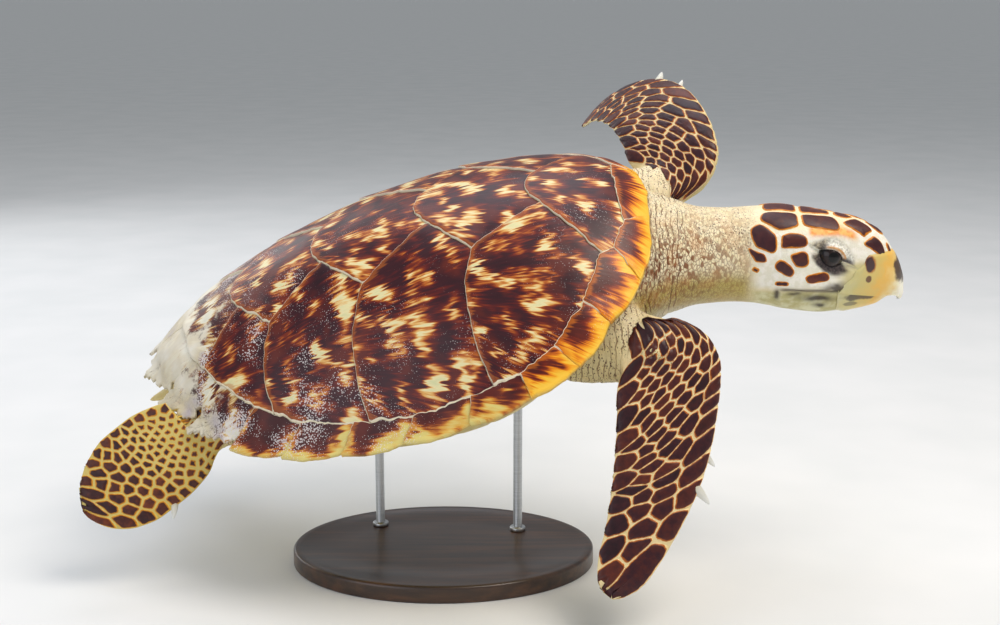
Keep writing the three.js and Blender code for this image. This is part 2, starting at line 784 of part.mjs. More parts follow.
for (const [name, along] of Object.entries(stand.rodAlong)) {
  const foot = stand.floor + stand.baseThickness + gap;
  const touch = new THREE.Vector3(along, 0, belly.level * shellLength - belly.plate).applyMatrix4(inPlace);
  const top = touch.z - foot;
  const under = top - stand.padHeight - 8;
  const reach = 20; // past the plastron, cut back to it
  const profile = [
    [0, 0], [stand.rodRadius, 0], [stand.rodRadius, under],
    [stand.padRadius, under + 6], [stand.padRadius, top + reach], [0, top + reach],
  ].map(([r, z]) => new THREE.Vector2(r, z));
  const geometry = new THREE.LatheGeometry(profile, 10);
  geometry.rotateX(Math.PI / 2);
  geometry.translate(touch.x, touch.y, foot);
  turtle.add(piece(name, cutBy(solidOf(geometry), bodyClear), finish('steel', 0.3, 1)));
}

// the origin is under the middle of the whole, on the floor
turtle.updateMatrixWorld(true);
const bounds = new THREE.Box3().setFromObject(turtle, true);
const middle = bounds.getCenter(new THREE.Vector3());
turtle.position.set(-middle.x, -middle.y, -bounds.min.z);

export default turtle;
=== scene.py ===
import itertools
import math

import bpy
import numpy as np
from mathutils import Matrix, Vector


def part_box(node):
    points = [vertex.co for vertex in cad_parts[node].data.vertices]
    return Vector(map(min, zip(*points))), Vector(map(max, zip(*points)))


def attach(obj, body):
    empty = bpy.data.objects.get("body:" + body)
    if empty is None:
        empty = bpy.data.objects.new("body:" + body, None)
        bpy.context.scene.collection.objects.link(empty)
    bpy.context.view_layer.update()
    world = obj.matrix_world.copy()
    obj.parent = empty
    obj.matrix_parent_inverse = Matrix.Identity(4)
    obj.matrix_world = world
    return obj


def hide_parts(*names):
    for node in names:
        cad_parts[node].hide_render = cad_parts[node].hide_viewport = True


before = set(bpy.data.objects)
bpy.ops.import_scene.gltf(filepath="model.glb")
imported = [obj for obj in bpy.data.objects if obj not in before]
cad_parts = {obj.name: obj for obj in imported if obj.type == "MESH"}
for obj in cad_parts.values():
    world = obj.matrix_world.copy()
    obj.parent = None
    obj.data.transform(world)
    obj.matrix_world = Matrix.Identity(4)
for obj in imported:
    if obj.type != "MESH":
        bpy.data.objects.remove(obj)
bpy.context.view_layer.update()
print("frame loaded:", len(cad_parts), "nodes")

# the stand's base says where the model's own origin is in the row frame
standPlan = {"centre": (48.0, 6.0), "floor": -322.0}
baseLow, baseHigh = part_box("stand_base")
origin = np.array([
    (baseLow.x + baseHigh.x) * 500 - standPlan["centre"][0],
    (baseLow.y + baseHigh.y) * 500 - standPlan["centre"][1],
    baseLow.z * 1000 - standPlan["floor"],
])


# ---- numbers and curves ----

def unit(v):
    return v / np.maximum(np.linalg.norm(v, axis=-1, keepdims=True), 1e-12)


def ease(low, high, value):  # 0 below low, 1 above high, 3t^2 - 2t^3 between them
    t = np.clip((value - low) / (high - low), 0, 1)
    return t * t * (3 - 2 * t)


def bell(value, width):  # exp(-(value / width)^2)
    return np.exp(-((value / width) ** 2))


def turned(axis, degrees):
    c, s = math.cos(math.radians(degrees)), math.sin(math.radians(degrees))
    i, j = {"x": (1, 2), "y": (2, 0), "z": (0, 1)}[axis]
    matrix = np.eye(3)
    matrix[i, i] = matrix[j, j] = c
    matrix[j, i], matrix[i, j] = s, -s
    return matrix


# A smooth curve through values at knots: cubic between two, with the harmonic mean of the
# slopes beside a knot as its slope there, so that it never overshoots
def curveThrough(x, knots, values):
    knots, values = np.asarray(knots, float), np.asarray(values, float)
    column = (-1,) + (1,) * (values.ndim - 1)
    step = np.diff(knots).reshape(column)
    slope = np.diff(values, axis=0) / step
    before, after = slope[:-1], slope[1:]
    near, far = step[:-1] + 2 * step[1:], 2 * step[:-1] + step[1:]
    same = before * after > 1e-12
    mean = (near + far) / (near / np.where(same, before, 1) + far / np.where(same, after, 1))
    tangent = np.concatenate([slope[:1], np.where(same, mean, 0), slope[-1:]])
    x = np.asarray(x, float)
    i = np.clip(np.searchsorted(knots, x) - 1, 0, len(knots) - 2)
    t = np.clip((x - knots[i]) / np.diff(knots)[i], 0, 1)
    if values.ndim > 1:
        t = t[..., None]
    h = np.diff(knots)[i].reshape(t.shape)
    a, b, ta, tb = values[i], values[i + 1], tangent[i] * h, tangent[i + 1] * h
    return a + ta * t + (3 * (b - a) - 2 * ta - tb) * t**2 + (2 * (a - b) + ta + tb) * t**3


def hashed(cell, seed):  # a number from -1 to 1 for each whole-number cell
    n = cell[..., 0] * 73856093 ^ cell[..., 1] * 19349663 ^ cell[..., 2] * 83492791 ^ seed * 26544357
    n = ((n ^ (n >> 13)) * 1274126177) & 0xFFFFFFFF
    n = ((n ^ (n >> 16)) * 668265263) & 0xFFFFFFFF
    return ((n >> 8) & 0xFFFF) / 32767.5 - 1


# Soft noise from -1 to 1: the corners of cells `size` mm wide carry hashed numbers, blended between
def noise(points, size, seed=0):
    place = np.asarray(points, float) / size
    base = np.floor(place).astype(np.int64)
    f = place - base
    f = f * f * (3 - 2 * f)
    total = 0
    for corner in itertools.product((0, 1), repeat=3):
        share = np.prod(np.where(np.array(corner) == 1, f, 1 - f), axis=-1)
        total = total + share * hashed(base + np.array(corner), seed)
    return total


# ---- meshes ----

def buildMesh(name, points, faces, material=None, smooth=True):
    # points in mm in the model's frame, faces a list of whole-number arrays, one row a face
    mesh = bpy.data.meshes.new(name)
    corners = np.concatenate([np.asarray(f, np.int32).ravel() for f in faces])
    totals = np.concatenate([np.full(len(f), np.shape(f)[1], np.int32) for f in faces])
    mesh.vertices.add(len(points))
    mesh.vertices.foreach_set("co", ((points + origin) / 1000).astype(np.float32).ravel())
    mesh.loops.add(len(corners))
    mesh.loops.foreach_set("vertex_index", corners)
    mesh.polygons.add(len(totals))
    mesh.polygons.foreach_set("loop_start", (np.cumsum(totals) - totals).astype(np.int32))
    mesh.update(calc_edges=True)
    mesh.polygons.foreach_set("use_smooth", np.full(len(totals), smooth))
    mesh.validate()
    piece = bpy.data.objects.new(name, mesh)
    bpy.context.scene.collection.objects.link(piece)
    if material:
        mesh.materials.append(material)
    return piece


def setAttribute(piece, name, values):
    values = np.asarray(values, np.float32)
    kind, key = ("FLOAT", "value") if values.ndim == 1 else ("FLOAT_VECTOR", "vector")
    piece.data.attributes.new(name, kind, "POINT").data.foreach_set(key, values.ravel())


def place(piece, slot, replaced=()):
    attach(piece, "root")
    if replaced:
        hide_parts(*replaced)
    return piece


# A closed tube through rings[n, m, 3], with a hub at each end
def tube(rings):
    count, sides = rings.shape[:2]
    points = np.concatenate([rings.reshape(-1, 3), rings[:1].mean(1), rings[-1:].mean(1)])
    r, s = np.meshgrid(np.arange(count - 1), np.arange(sides), indexing="ij")
    a, b = r * sides + s, r * sides + (s + 1) % sides
    quads = np.stack([a, b, b + sides, a + sides], -1).reshape(-1, 4)
    s = np.arange(sides)
    after = (s + 1) % sides
    last = (count - 1) * sides
    hubs = np.full(sides, len(points) - 2)
    start = np.stack([hubs, after, s], -1)
    end = np.stack([hubs + 1, last + s, last + after], -1)
    return facingOut(points, [quads, start, end])


def facingOut(points, faces):
    volume = 0
    for f in faces:
        for k in range(1, f.shape[1] - 1):
            a, b, c = points[f[:, 0]], points[f[:, k]], points[f[:, k + 1]]
            volume += np.einsum("ij,ij->", a, np.cross(b, c))
    return points, faces if volume > 0 else [f[:, ::-1] for f in faces]


def vertexNormals(points, tris):
    a, b, c = (points[tris[:, k]] for k in range(3))
    flat = np.cross(b - a, c - a)
    total = np.zeros_like(points)
    for k in range(3):
        for axis in range(3):
            total[:, axis] += np.bincount(tris[:, k], flat[:, axis], len(points))
    return unit(total)


# ---- places: shell, head ----

shellLength = 560.0
tilt = {"yaw": -5.8, "pitch": 18.8, "bank": 26.5}
shellTurn = turned("z", tilt["yaw"]) @ turned("y", -tilt["pitch"]) @ turned("x", tilt["bank"])
headPlace = {"at": np.array([375.0, -7.0, 19.0]), "yaw": -7.0, "bank": 8.0}
headTurn = turned("z", headPlace["yaw"]) @ turned("x", headPlace["bank"])


def fromShell(p):
    return p @ shellTurn.T


def fromHead(p):
    return p @ headTurn.T + headPlace["at"]


def toHead(p):
    return (p - headPlace["at"]) @ headTurn


# ---- camera, floor and lights ----

camera = bpy.data.cameras.new("camera")
camera.lens = 53.27
camera.sensor_width = 36
camera.clip_end = 2000
cameraObject = bpy.data.objects.new("camera", camera)
cameraObject.location = (0.0086, -1.5996, 0.6073)
cameraObject.rotation_euler = (math.radians(78), 0, 0)
bpy.context.scene.collection.objects.link(cameraObject)
bpy.context.scene.camera = cameraObject


def linear(hexColour):  # sRGB hex to linear, with alpha 1
    values = [int(hexColour[i:i + 2], 16) / 255 for i in (1, 3, 5)]
    return [v / 12.92 if v <= 0.04045 else ((v + 0.055) / 1.055) ** 2.4 for v in values] + [1.0]


# A new material, and the function that adds its nodes and returns one output, or all with out=None. In kind
# the second word is the node's operation or interpolation. Inputs come in turn, or by name in a dictionary,
# as sockets to link or values, text being a colour; stops fill a ramp, and other settings are the node's own
def newMaterial(name):
    material = bpy.data.materials.new(name)
    material.use_nodes = True
    tree = material.node_tree
    tree.nodes.clear()

    def add(kind, *inputs, out=0, stops=(), **settings):
        words = kind.split()
        node = tree.nodes.new("ShaderNode" + words[0])
        for word in words[1:]:
            setattr(node, "operation" if hasattr(node, "operation") else "interpolation_type", word)
        for key, value in settings.items():
            setattr(node, key, value)
        named = inputs[0] if inputs and isinstance(inputs[0], dict) else dict(enumerate(inputs))
        for key, value in named.items():
            if isinstance(value, bpy.types.NodeSocket):
                tree.links.new(value, node.inputs[key])
            else:
                node.inputs[key].default_value = linear(value) if isinstance(value, str) else value
        ramp = node.color_ramp if stops else None
        for i, (position, colour) in enumerate(stops):
            element = ramp.elements[i] if i < 2 else ramp.elements.new(1.0)
            element.position = position
            element.color = linear(colour)
        return node.outputs if out is None or not node.outputs else node.outputs[out]

    return material, add


lights = {
    "key": {"at": (1.3, -0.9, 2.7), "size": 1.5, "watts": 60, "colour": "#fff5e8"},
    "top": {"at": (-0.3, 0.9, 2.9), "size": 2.2, "watts": 34, "colour": "#f2f6ff"},
    "fill": {"at": (-1.9, -2.2, 1.2), "size": 2.0, "watts": 20, "colour": "#f4f7ff"},
    "rim": {"at": (-1.8, 1.9, 1.4), "size": 1.6, "watts": 14, "colour": "#ffffff"},
}
aim = np.array([0.0, 0.0, 0.3])
for lightName, light in lights.items():
    lamp = bpy.data.lights.new(lightName, "AREA")
    lamp.energy = light["watts"]
    lamp.size = light["size"]
    lamp.color = linear(light["colour"])[:3]
    lampObject = bpy.data.objects.new(lightName, lamp)
    lampObject.location = light["at"]
    away = aim - np.array(light["at"])
    lampObject.rotation_euler = (
        math.acos(-away[2] / np.linalg.norm(away)), 0, math.atan2(away[1], away[0]) - math.pi / 2)
    bpy.context.scene.collection.objects.link(lampObject)

world = bpy.data.worlds.new("studio")
world.use_nodes = True
world.node_tree.nodes["Background"].inputs["Color"].default_value = linear("#e9edf0")
world.node_tree.nodes["Background"].inputs["Strength"].default_value = 0.42
bpy.context.scene.world = world
bpy.context.scene.view_settings.view_transform = "Standard"


def paintedFloor():  # matt pale paint: even, with a faint mottle
    material, add = newMaterial("floor_paint")
    where = add("TexCoord", out="Object")
    mottle = add("TexNoise", {"Vector": where, "Scale": 6.0, "Detail": 2.0}, out="Fac")
    colour = add("ValToRGB", mottle, stops=[(0.3, "#e2e4e5"), (0.7, "#e8e9ea")], out="Color")
    shader = add("BsdfPrincipled", {"Base Color": colour, "Roughness": 0.8})
    add("OutputMaterial", shader)
    return material


floorSize = 600000.0
corners = np.array([[-1, -1], [1, -1], [1, 1], [-1, 1]]) * floorSize
floorPoints = np.column_stack([corners, np.full(4, -origin[2] - 0.2)])
floor = buildMesh("floor", floorPoints - origin * [1, 1, 0], [np.array([[0, 1, 2, 3]])], paintedFloor(),
    False)
print("camera, floor and lights ready")


# ---- the shell's surfaces, as in the solids ----

outline = {"widest": 0.375, "lean": 0.8, "front": (2.2, 0.678), "rear": (2.6, 0.62)}
dome = {
    "ridge": 0.126, "rimDrop": 0.09, "crown": 1.99, "ridgeLean": 0.88, "ridgeRound": 0.8,
    "rimLean": 0.9, "rimRound": 0.6, "flare": 0.45, "thickness": 8.0, "rimThickness": 4.0,
}
belly = {"level": -0.245, "flatTo": 0.5, "reach": 0.955, "plate": 5.0}
gap = 0.3


# Half width at a share of the length: widest (1 - |2 a^lean - 1|^curve)^round
def halfWidth(along):
    leant = np.clip(along, 0, 1) ** outline["lean"]
    (fc, fr), (rc, rr) = outline["front"], outline["rear"]
    off = np.abs(2 * leant - 1)
    front = np.maximum(1 - off**fc, 0) ** fr
    rear = np.maximum(1 - off**rc, 0) ** rr
    return outline["widest"] * np.where(leant < 0.5, front, rear)


# Height of the dome: from the rim's curve up to the ridge's by 1 - |across / half width|^crown
def domeHeight(along, across):
    a = np.clip(along, 0.001, 0.999)
    ridge = dome["ridge"] * np.sin(np.pi * a ** dome["ridgeLean"]) ** dome["ridgeRound"]
    rim = -dome["rimDrop"] * np.sin(np.pi * a ** dome["rimLean"]) ** dome["rimRound"]
    out = np.clip(np.abs(across) / np.maximum(halfWidth(a), 0.02), 0, 1)
    return shellLength * (rim + (ridge - rim) * (1 - out ** dome["crown"]))


# Share of the outline at which a place lies, found by halving, with the outline's own place
def shellShare(along, right):
    low, high = np.full(np.shape(along), 0.002), np.full(np.shape(along), 2.0)
    for _ in range(26):
        middle = (low + high) / 2
        a = 0.5 + (along - 0.5) / middle
        inside = (np.abs(right) / middle <= halfWidth(a)) & (a >= 0) & (a <= 1)
        high, low = np.where(inside, middle, high), np.where(inside, low, middle)
    share = high
    return share, 0.5 + (along - 0.5) / share, right / share


def skinDepth(share):
    return dome["thickness"] + (dome["rimThickness"] - dome["thickness"]) * ease(0.88, 1.1, share)


def domeTop(share, a0, r0):
    inside = np.minimum(share, 1)
    reach = np.hypot(a0 - 0.5, r0) * shellLength
    height = domeHeight(0.5 + (a0 - 0.5) * inside, r0 * inside)
    return height - np.maximum(share - 1, 0) * reach * dome["flare"]


def bellyHeight(share, a0, r0):
    reach = np.full(np.shape(share), belly["reach"])
    edge = domeTop(reach, a0, r0) - skinDepth(belly["reach"])
    return edge + (belly["level"] * shellLength - edge) * (1 - ease(belly["flatTo"], belly["reach"], share))


def planToShell(along, right, height):
    return np.stack([(0.5 - along) * shellLength, -right * shellLength, height], -1)


# ---- scute outlines in plan, as shares of the shell's length: from the front, to the right ----

corner = {
    "nuchal": (0.055, 0.097), "shoulder": (0.105, 0.163), "v1v2": (0.187, 0.052), "c1c2": (0.32, 0.134),
    "v2v3": (0.391, 0.055), "c2c3": (0.525, 0.14), "v3v4": (0.602, 0.058), "c3c4": (0.718, 0.132),
    "v4v5": (0.784, 0.057), "c4v5": (0.874, 0.134),
}
rimCorner = [
    (0.055, 0.097), (0.083, 0.15), (0.155, 0.245), (0.225, 0.305), (0.29, 0.334), (0.385, 0.346),
    (0.489, 0.348), (0.594, 0.331), (0.696, 0.3), (0.778, 0.246), (0.85, 0.17), (0.9, 0.098), (0.925, 0),
]
rimTip = [
    (0.012, 0.072), (0.055, 0.196), (0.122, 0.27), (0.192, 0.332), (0.285, 0.364), (0.4, 0.377),
    (0.521, 0.375), (0.636, 0.361), (0.749, 0.33), (0.851, 0.277), (0.938, 0.198), (1.0, 0.112),
    (1.036, 0.034),
]
freeEdgeStart = [1, 1, 0.98, 0.97, 0.96, 0.94, 0.92, 0.88, 0.84, 0.78, 0.74, 0.72]
rimMeeting = {1: corner["shoulder"], 4: (0.341, 0.341), 6: (0.568, 0.336), 8: (0.743, 0.268),
    10: corner["c4v5"]}
notch = (1.0, 0)
freeEdgeBulge = 0.07


def mirrored(places):
    return [(a, -b) for a, b in places]


def wholeOutline(right):
    return right + [(a, b) for a, b in mirrored(right[::-1]) if b != 0]


def bowed(start, end, bow, steps=4):  # a seam bowed to the rear by a share of its length
    t = np.arange(steps) / steps
    lift = 4 * t * (1 - t) * bow * math.dist(start, end)
    return [(start[0] + (end[0] - start[0]) * k + up, start[1] + (end[1] - start[1]) * k) for k,
        up in zip(t, lift)]


def vertebralRear(p):
    return [p, (p[0] + 0.016, p[1] * 0.55), (p[0] + 0.024, 0)]


def vertebralOutlines():
    names = [("nuchal", "shoulder", "v1v2"), ("v1v2", "c1c2", "v2v3"), ("v2v3", "c2c3", "v3v4"),
        ("v3v4", "c3c4", "v4v5")]
    found = []
    for i, side in enumerate(names):
        start = [(0.055, 0), corner["nuchal"], rimCorner[1]] if i == 0 else vertebralRear(corner[side[0]])[::
            -1]
        found.append(wholeOutline(start + [corner[side[1]]] + vertebralRear(corner[side[2]])))
    last = vertebralRear(corner["v4v5"])[::-1] + [corner["c4v5"]] + rimCorner[11:]
    return found + [wholeOutline(last)]


def costalOutlines():
    names = [("shoulder", "v1v2", "c1c2"), ("c1c2", "v2v3", "c2c3"), ("c2c3", "v3v4", "c3c4"),
        ("c3c4", "v4v5", "c4v5")]
    rimBetween = [(2, 3, 4), (5, 6), (7, 8), (9, 10)]
    foot = list(rimMeeting.values())
    bow = 0.1
    found = []
    for i, side in enumerate(names):
        inner = [corner[n] for n in side]
        rear = bowed(inner[2], foot[i + 1], bow) + [foot[i + 1]] if i < 3 else [inner[2]]
        rim = [rimCorner[k] for k in rimBetween[i]][::-1]
        front = [foot[i]] + bowed(inner[0], foot[i], bow)[1:][::-1] if i > 0 else []
        found.append(inner[:2] + rear + rim + front)
    return found


def marginalOutlines():
    found = []
    for i in range(12):
        inner = [rimCorner[i]] + ([rimMeeting[i]] if i in rimMeeting else [])
        share = freeEdgeStart[i]
        start = tuple(rimCorner[i][k] + (rimTip[i][k] - rimCorner[i][k]) * share for k in (0, 1))
        if i == 11:
            found.append(inner + [rimCorner[12], notch, rimTip[12], start])
            continue
        tip = rimTip[i + 1]
        free = []
        for t in (0.66, 0.33):
            out = freeEdgeBulge * 4 * t * (1 - t)
            free.append((start[0] + (tip[0] - start[0]) * t - (tip[1] - start[1]) * out,
                         start[1] + (tip[1] - start[1]) * t - (start[0] - tip[0]) * out))
        found.append(inner + [rimCorner[i + 1], tip] + free + [start])
    return found


# ---- horn: keratin plates, thin and clear enough that the layers under them colour them ----

hornLooks = {
    "back": {
        "dark": ("#1c0511", "#370a15", "#561110"), "brown": "#7c2a0c", "amber": "#b5601c",
        "light": "#dba95c", "pale": "#e3d7a4", "green": "#cfcf9e", "cut": 0.015, "specks": 0.6,
        "outer": 0.0, "rimReach": 20.0, "worn": 0.0, "roughness": 0.4,
    },
    "frontRim": {
        "dark": ("#30080a", "#4c1009", "#701d08"), "brown": "#9c3c08", "amber": "#d5720c",
        "light": "#ee9a16", "pale": "#f5c038", "green": "#f3d668", "cut": 0.0, "specks": 0.0,
        "outer": 1.0, "rimReach": 26.0, "worn": 0.0, "roughness": 0.38,
    },
    "sideRim": {
        "dark": ("#24080e", "#3e0c0e", "#5a170c"), "brown": "#7c300c", "amber": "#bb681b",
        "light": "#d9a440", "pale": "#dcca76", "green": "#cdc277", "cut": 0.0, "specks": 0.5,
        "outer": 0.85, "rimReach": 21.0, "worn": 0.0, "roughness": 0.42,
    },
    "tail": {
        "dark": ("#220a16", "#3c1318", "#5c2018"), "brown": "#7d3f20", "amber": "#ad7838",
        "light": "#d3b67c", "pale": "#e6dfc8", "green": "#d9d6c4", "cut": -0.02, "specks": 0.9,
        "outer": 0.0, "rimReach": 20.0, "worn": 1.0, "roughness": 0.45,
    },
}


# Polished tortoiseshell, a natural horn: IOR 1.55. Streaks 3 mm apart run fore and aft, pale
# windows 15 to 40 mm long end in teeth that point forward, the rear edge is clear amber
def horn(name, looks):
    material, add = newMaterial(name)
    fan = add("Attribute", attribute_name="fan", out="Vector")
    rim = add("Attribute", attribute_name="rim", out="Vector")
    uv = add("SeparateXYZ", fan, out=None)
    edges = add("SeparateXYZ", rim, out=None)
    across, forward, seed = (uv[k] for k in range(3))
    edge, rear, outer = (edges[k] for k in range(3))

    def grain(sizeAcross, sizeForward, shift, detail=2.0, forwardSocket=forward):
        where = add("CombineXYZ", add("Math DIVIDE", across, sizeAcross),
            add("Math DIVIDE", forwardSocket, sizeForward), add("Math ADD", seed, shift))
        return add("TexNoise", {"Vector": where, "Scale": 1.0, "Detail": detail, "Roughness": 0.55},
            out="Fac")

    teeth = add("Math MULTIPLY", add("Math SUBTRACT", grain(3.8, 60.0, 3.0, 3.0), 0.5), 38.0)
    shifted = add("Math ADD", forward, teeth)
    streaks = add("Math SUBTRACT", grain(2.4, 40.0, 9.0, 4.0), 0.5)
    windows = grain(20.0, 23.0, 17.0, 1.2, shifted)
    growth = add("Math SINE", add("Math DIVIDE", shifted, 5.4))
    tone = add("Math ADD", windows, add("Math MULTIPLY", streaks, 0.42))
    tone = add("Math ADD", tone, add("Math MULTIPLY", growth, 0.05))
    tone = add("Math ADD", tone, -looks["cut"])
    # the rim's plates clear towards their free edge instead
    frayed = add("Math ADD", outer, add("Math MULTIPLY", streaks, 26.0))
    frayed = add("Math ADD", frayed, add("Math MULTIPLY", add("Math SUBTRACT", windows, 0.5), -26.0))
    rimTone = add("Math ADD", add("Math MULTIPLY", add("MapRange SMOOTHSTEP", frayed, looks["rimReach"],
        -2.0), 0.34), 0.34)
    tone = add("Math ADD", add("Math MULTIPLY", tone, 1.0 - looks["outer"]),
        add("Math MULTIPLY", rimTone, looks["outer"]))
    colour = add("ValToRGB", tone, stops=[ (0.0, looks["dark"][0]), (0.4, looks["dark"][1]),
        (0.48, looks["dark"][2]), (0.53, looks["brown"]), (0.575, looks["amber"]), (0.615, looks["light"]),
        (0.66, looks["pale"]), (0.8, looks["green"])])
    depth = grain(34.0, 40.0, 31.0, 2.0)
    reddish = add("MixRGB", add("Math MULTIPLY", add("MapRange SMOOTHSTEP", depth, 0.5, 0.66),
        add("MapRange SMOOTHSTEP", tone, 0.56, 0.5)), colour, "#5a1a10")
    # the last 4 mm before the rear edge is one clear layer over the next plate
    strip = add("Math MULTIPLY", add("MapRange SMOOTHSTEP",
        add("Math ADD", rear, add("Math MULTIPLY", streaks, 16.0)), 5.0, 2.0), 0.5)
    amberStrip = add("MixRGB", strip, reddish, looks["amber"])
    # specks of lime and young barnacles, about 1 mm, thickest low down and towards the tail
    body = add("TexCoord", out="Object")
    dots = add("TexVoronoi", {"Vector": body, "Scale": 540.0, "Randomness": 1.0}, out="Distance")
    patchy = add("TexNoise", {"Vector": body, "Scale": 24.0, "Detail": 3.0}, out="Fac")
    aft = add("Attribute", attribute_name="crust", out="Fac")
    density = add("Math MULTIPLY", add("MapRange SMOOTHSTEP", patchy, 0.33, 0.75), aft)
    reach = add("Math MULTIPLY", density, 0.34)
    speck = add("Math GREATER_THAN", reach, dots)
    wear = add("Attribute", attribute_name="wear", out="Fac")
    speckled = add("MixRGB", add("Math MULTIPLY", speck, 0.75), amberStrip, "#e2dcdc")
    # seams: a pale line where the edges of two plates lie together
    wander = add("TexNoise", {"Vector": body, "Scale": 160.0, "Detail": 2.0}, out="Fac")
    inner = add("Math MULTIPLY", add("MapRange SMOOTHSTEP", outer, 2.0, 6.0), 0.9)
    line = add("MapRange SMOOTHSTEP", add("Math ADD", edge,
        add("Math MULTIPLY", add("Math SUBTRACT", wander, 0.5), 0.8)), 0.6, 0.15)
    seam = add("MixRGB", add("Math MULTIPLY", line, inner), speckled, "#f3ead0")
    # worn, chalky horn over the tail
    chalk = add("TexNoise", {"Vector": body, "Scale": 34.0, "Detail": 6.0, "Roughness": 0.65}, out="Fac")
    chalkTone = add("ValToRGB", patchy, stops=[(0.35, "#eee9da"), (0.55, "#d8cdb0"), (0.68, "#b8aeb4")])
    chalky = add("MixRGB", add("Math MULTIPLY", add("MapRange SMOOTHSTEP",
        add("Math ADD", chalk, add("Math MULTIPLY", wear, 0.24)), 0.52, 0.64), 0.9 * looks["worn"]), seam,
        chalkTone)
    # the underside of the rim has only the palest layer
    under = add("Attribute", attribute_name="under", out="Fac")
    pale = add("ValToRGB", tone, stops=[(0.35, "#8c6a35"), (0.5, "#cdb36a"), (0.7, "#e2d398")])
    final = add("MixRGB", under, chalky, pale)
    fine = add("TexNoise", {"Vector": body, "Scale": 420.0, "Detail": 2.0}, out="Fac")
    relief = add("Math ADD", add("Math MULTIPLY", streaks, 0.5), add("Math MULTIPLY", speck, 0.7))
    relief = add("Math ADD", relief, add("Math MULTIPLY", chalk, 2.0 * looks["worn"]))
    relief = add("Math ADD", relief, add("Math MULTIPLY", fine, 0.15))
    bump = add("Bump", {"Height": relief, "Strength": 0.5, "Distance": 0.0006})
    gloss = add("Math ADD", add("Math MULTIPLY", speck, 0.3), add("Math MULTIPLY", fine, 0.12))
    gloss = add("Math ADD", gloss, looks["roughness"] - 0.06)
    shader = add("BsdfPrincipled", {"Base Color": final, "Roughness": gloss, "IOR": 1.55, "Normal": bump,
        "Specular IOR Level": 0.3, "Coat Weight": 0.04, "Coat Roughness": 0.25})
    add("OutputMaterial", shader)
    return material


hornMaterials = {key: horn("tortoiseshell_" + key, looks) for key, looks in hornLooks.items()}

scute = {
    "around": 150, # points round a plate's edge
    "inset": 0.15, # half of the gap between two plates
    "wander": 1.3, # how far a seam strays, mm
    "lip": 2.0, # lift of the rear edge over the next plate
    "tuck": 0.7, # drop of the front edge
    "lipReach": 26.0,
    "groove": 0.55,
    "grooveReach": 1.2,
    "ragged": 3.6, # broken edge of the plates over the tail
}
ringShares = np.array([0.0, .1, .2, .3, .4, .5, .6, .68, .75, .81, .86, .9, .93, .955, .975, .99, 1.0])


# Distance of points[n, 2] to each piece of a closed line[m, 2], and the foot's piece
def distances(points, line):
    a, b = line, np.roll(line, -1, axis=0)
    d = b - a
    t = np.clip(((points[:, None] - a) * d).sum(-1) / np.maximum((d * d).sum(-1), 1e-9), 0, 1)
    return np.linalg.norm(points[:, None] - a - t[..., None] * d, axis=-1)


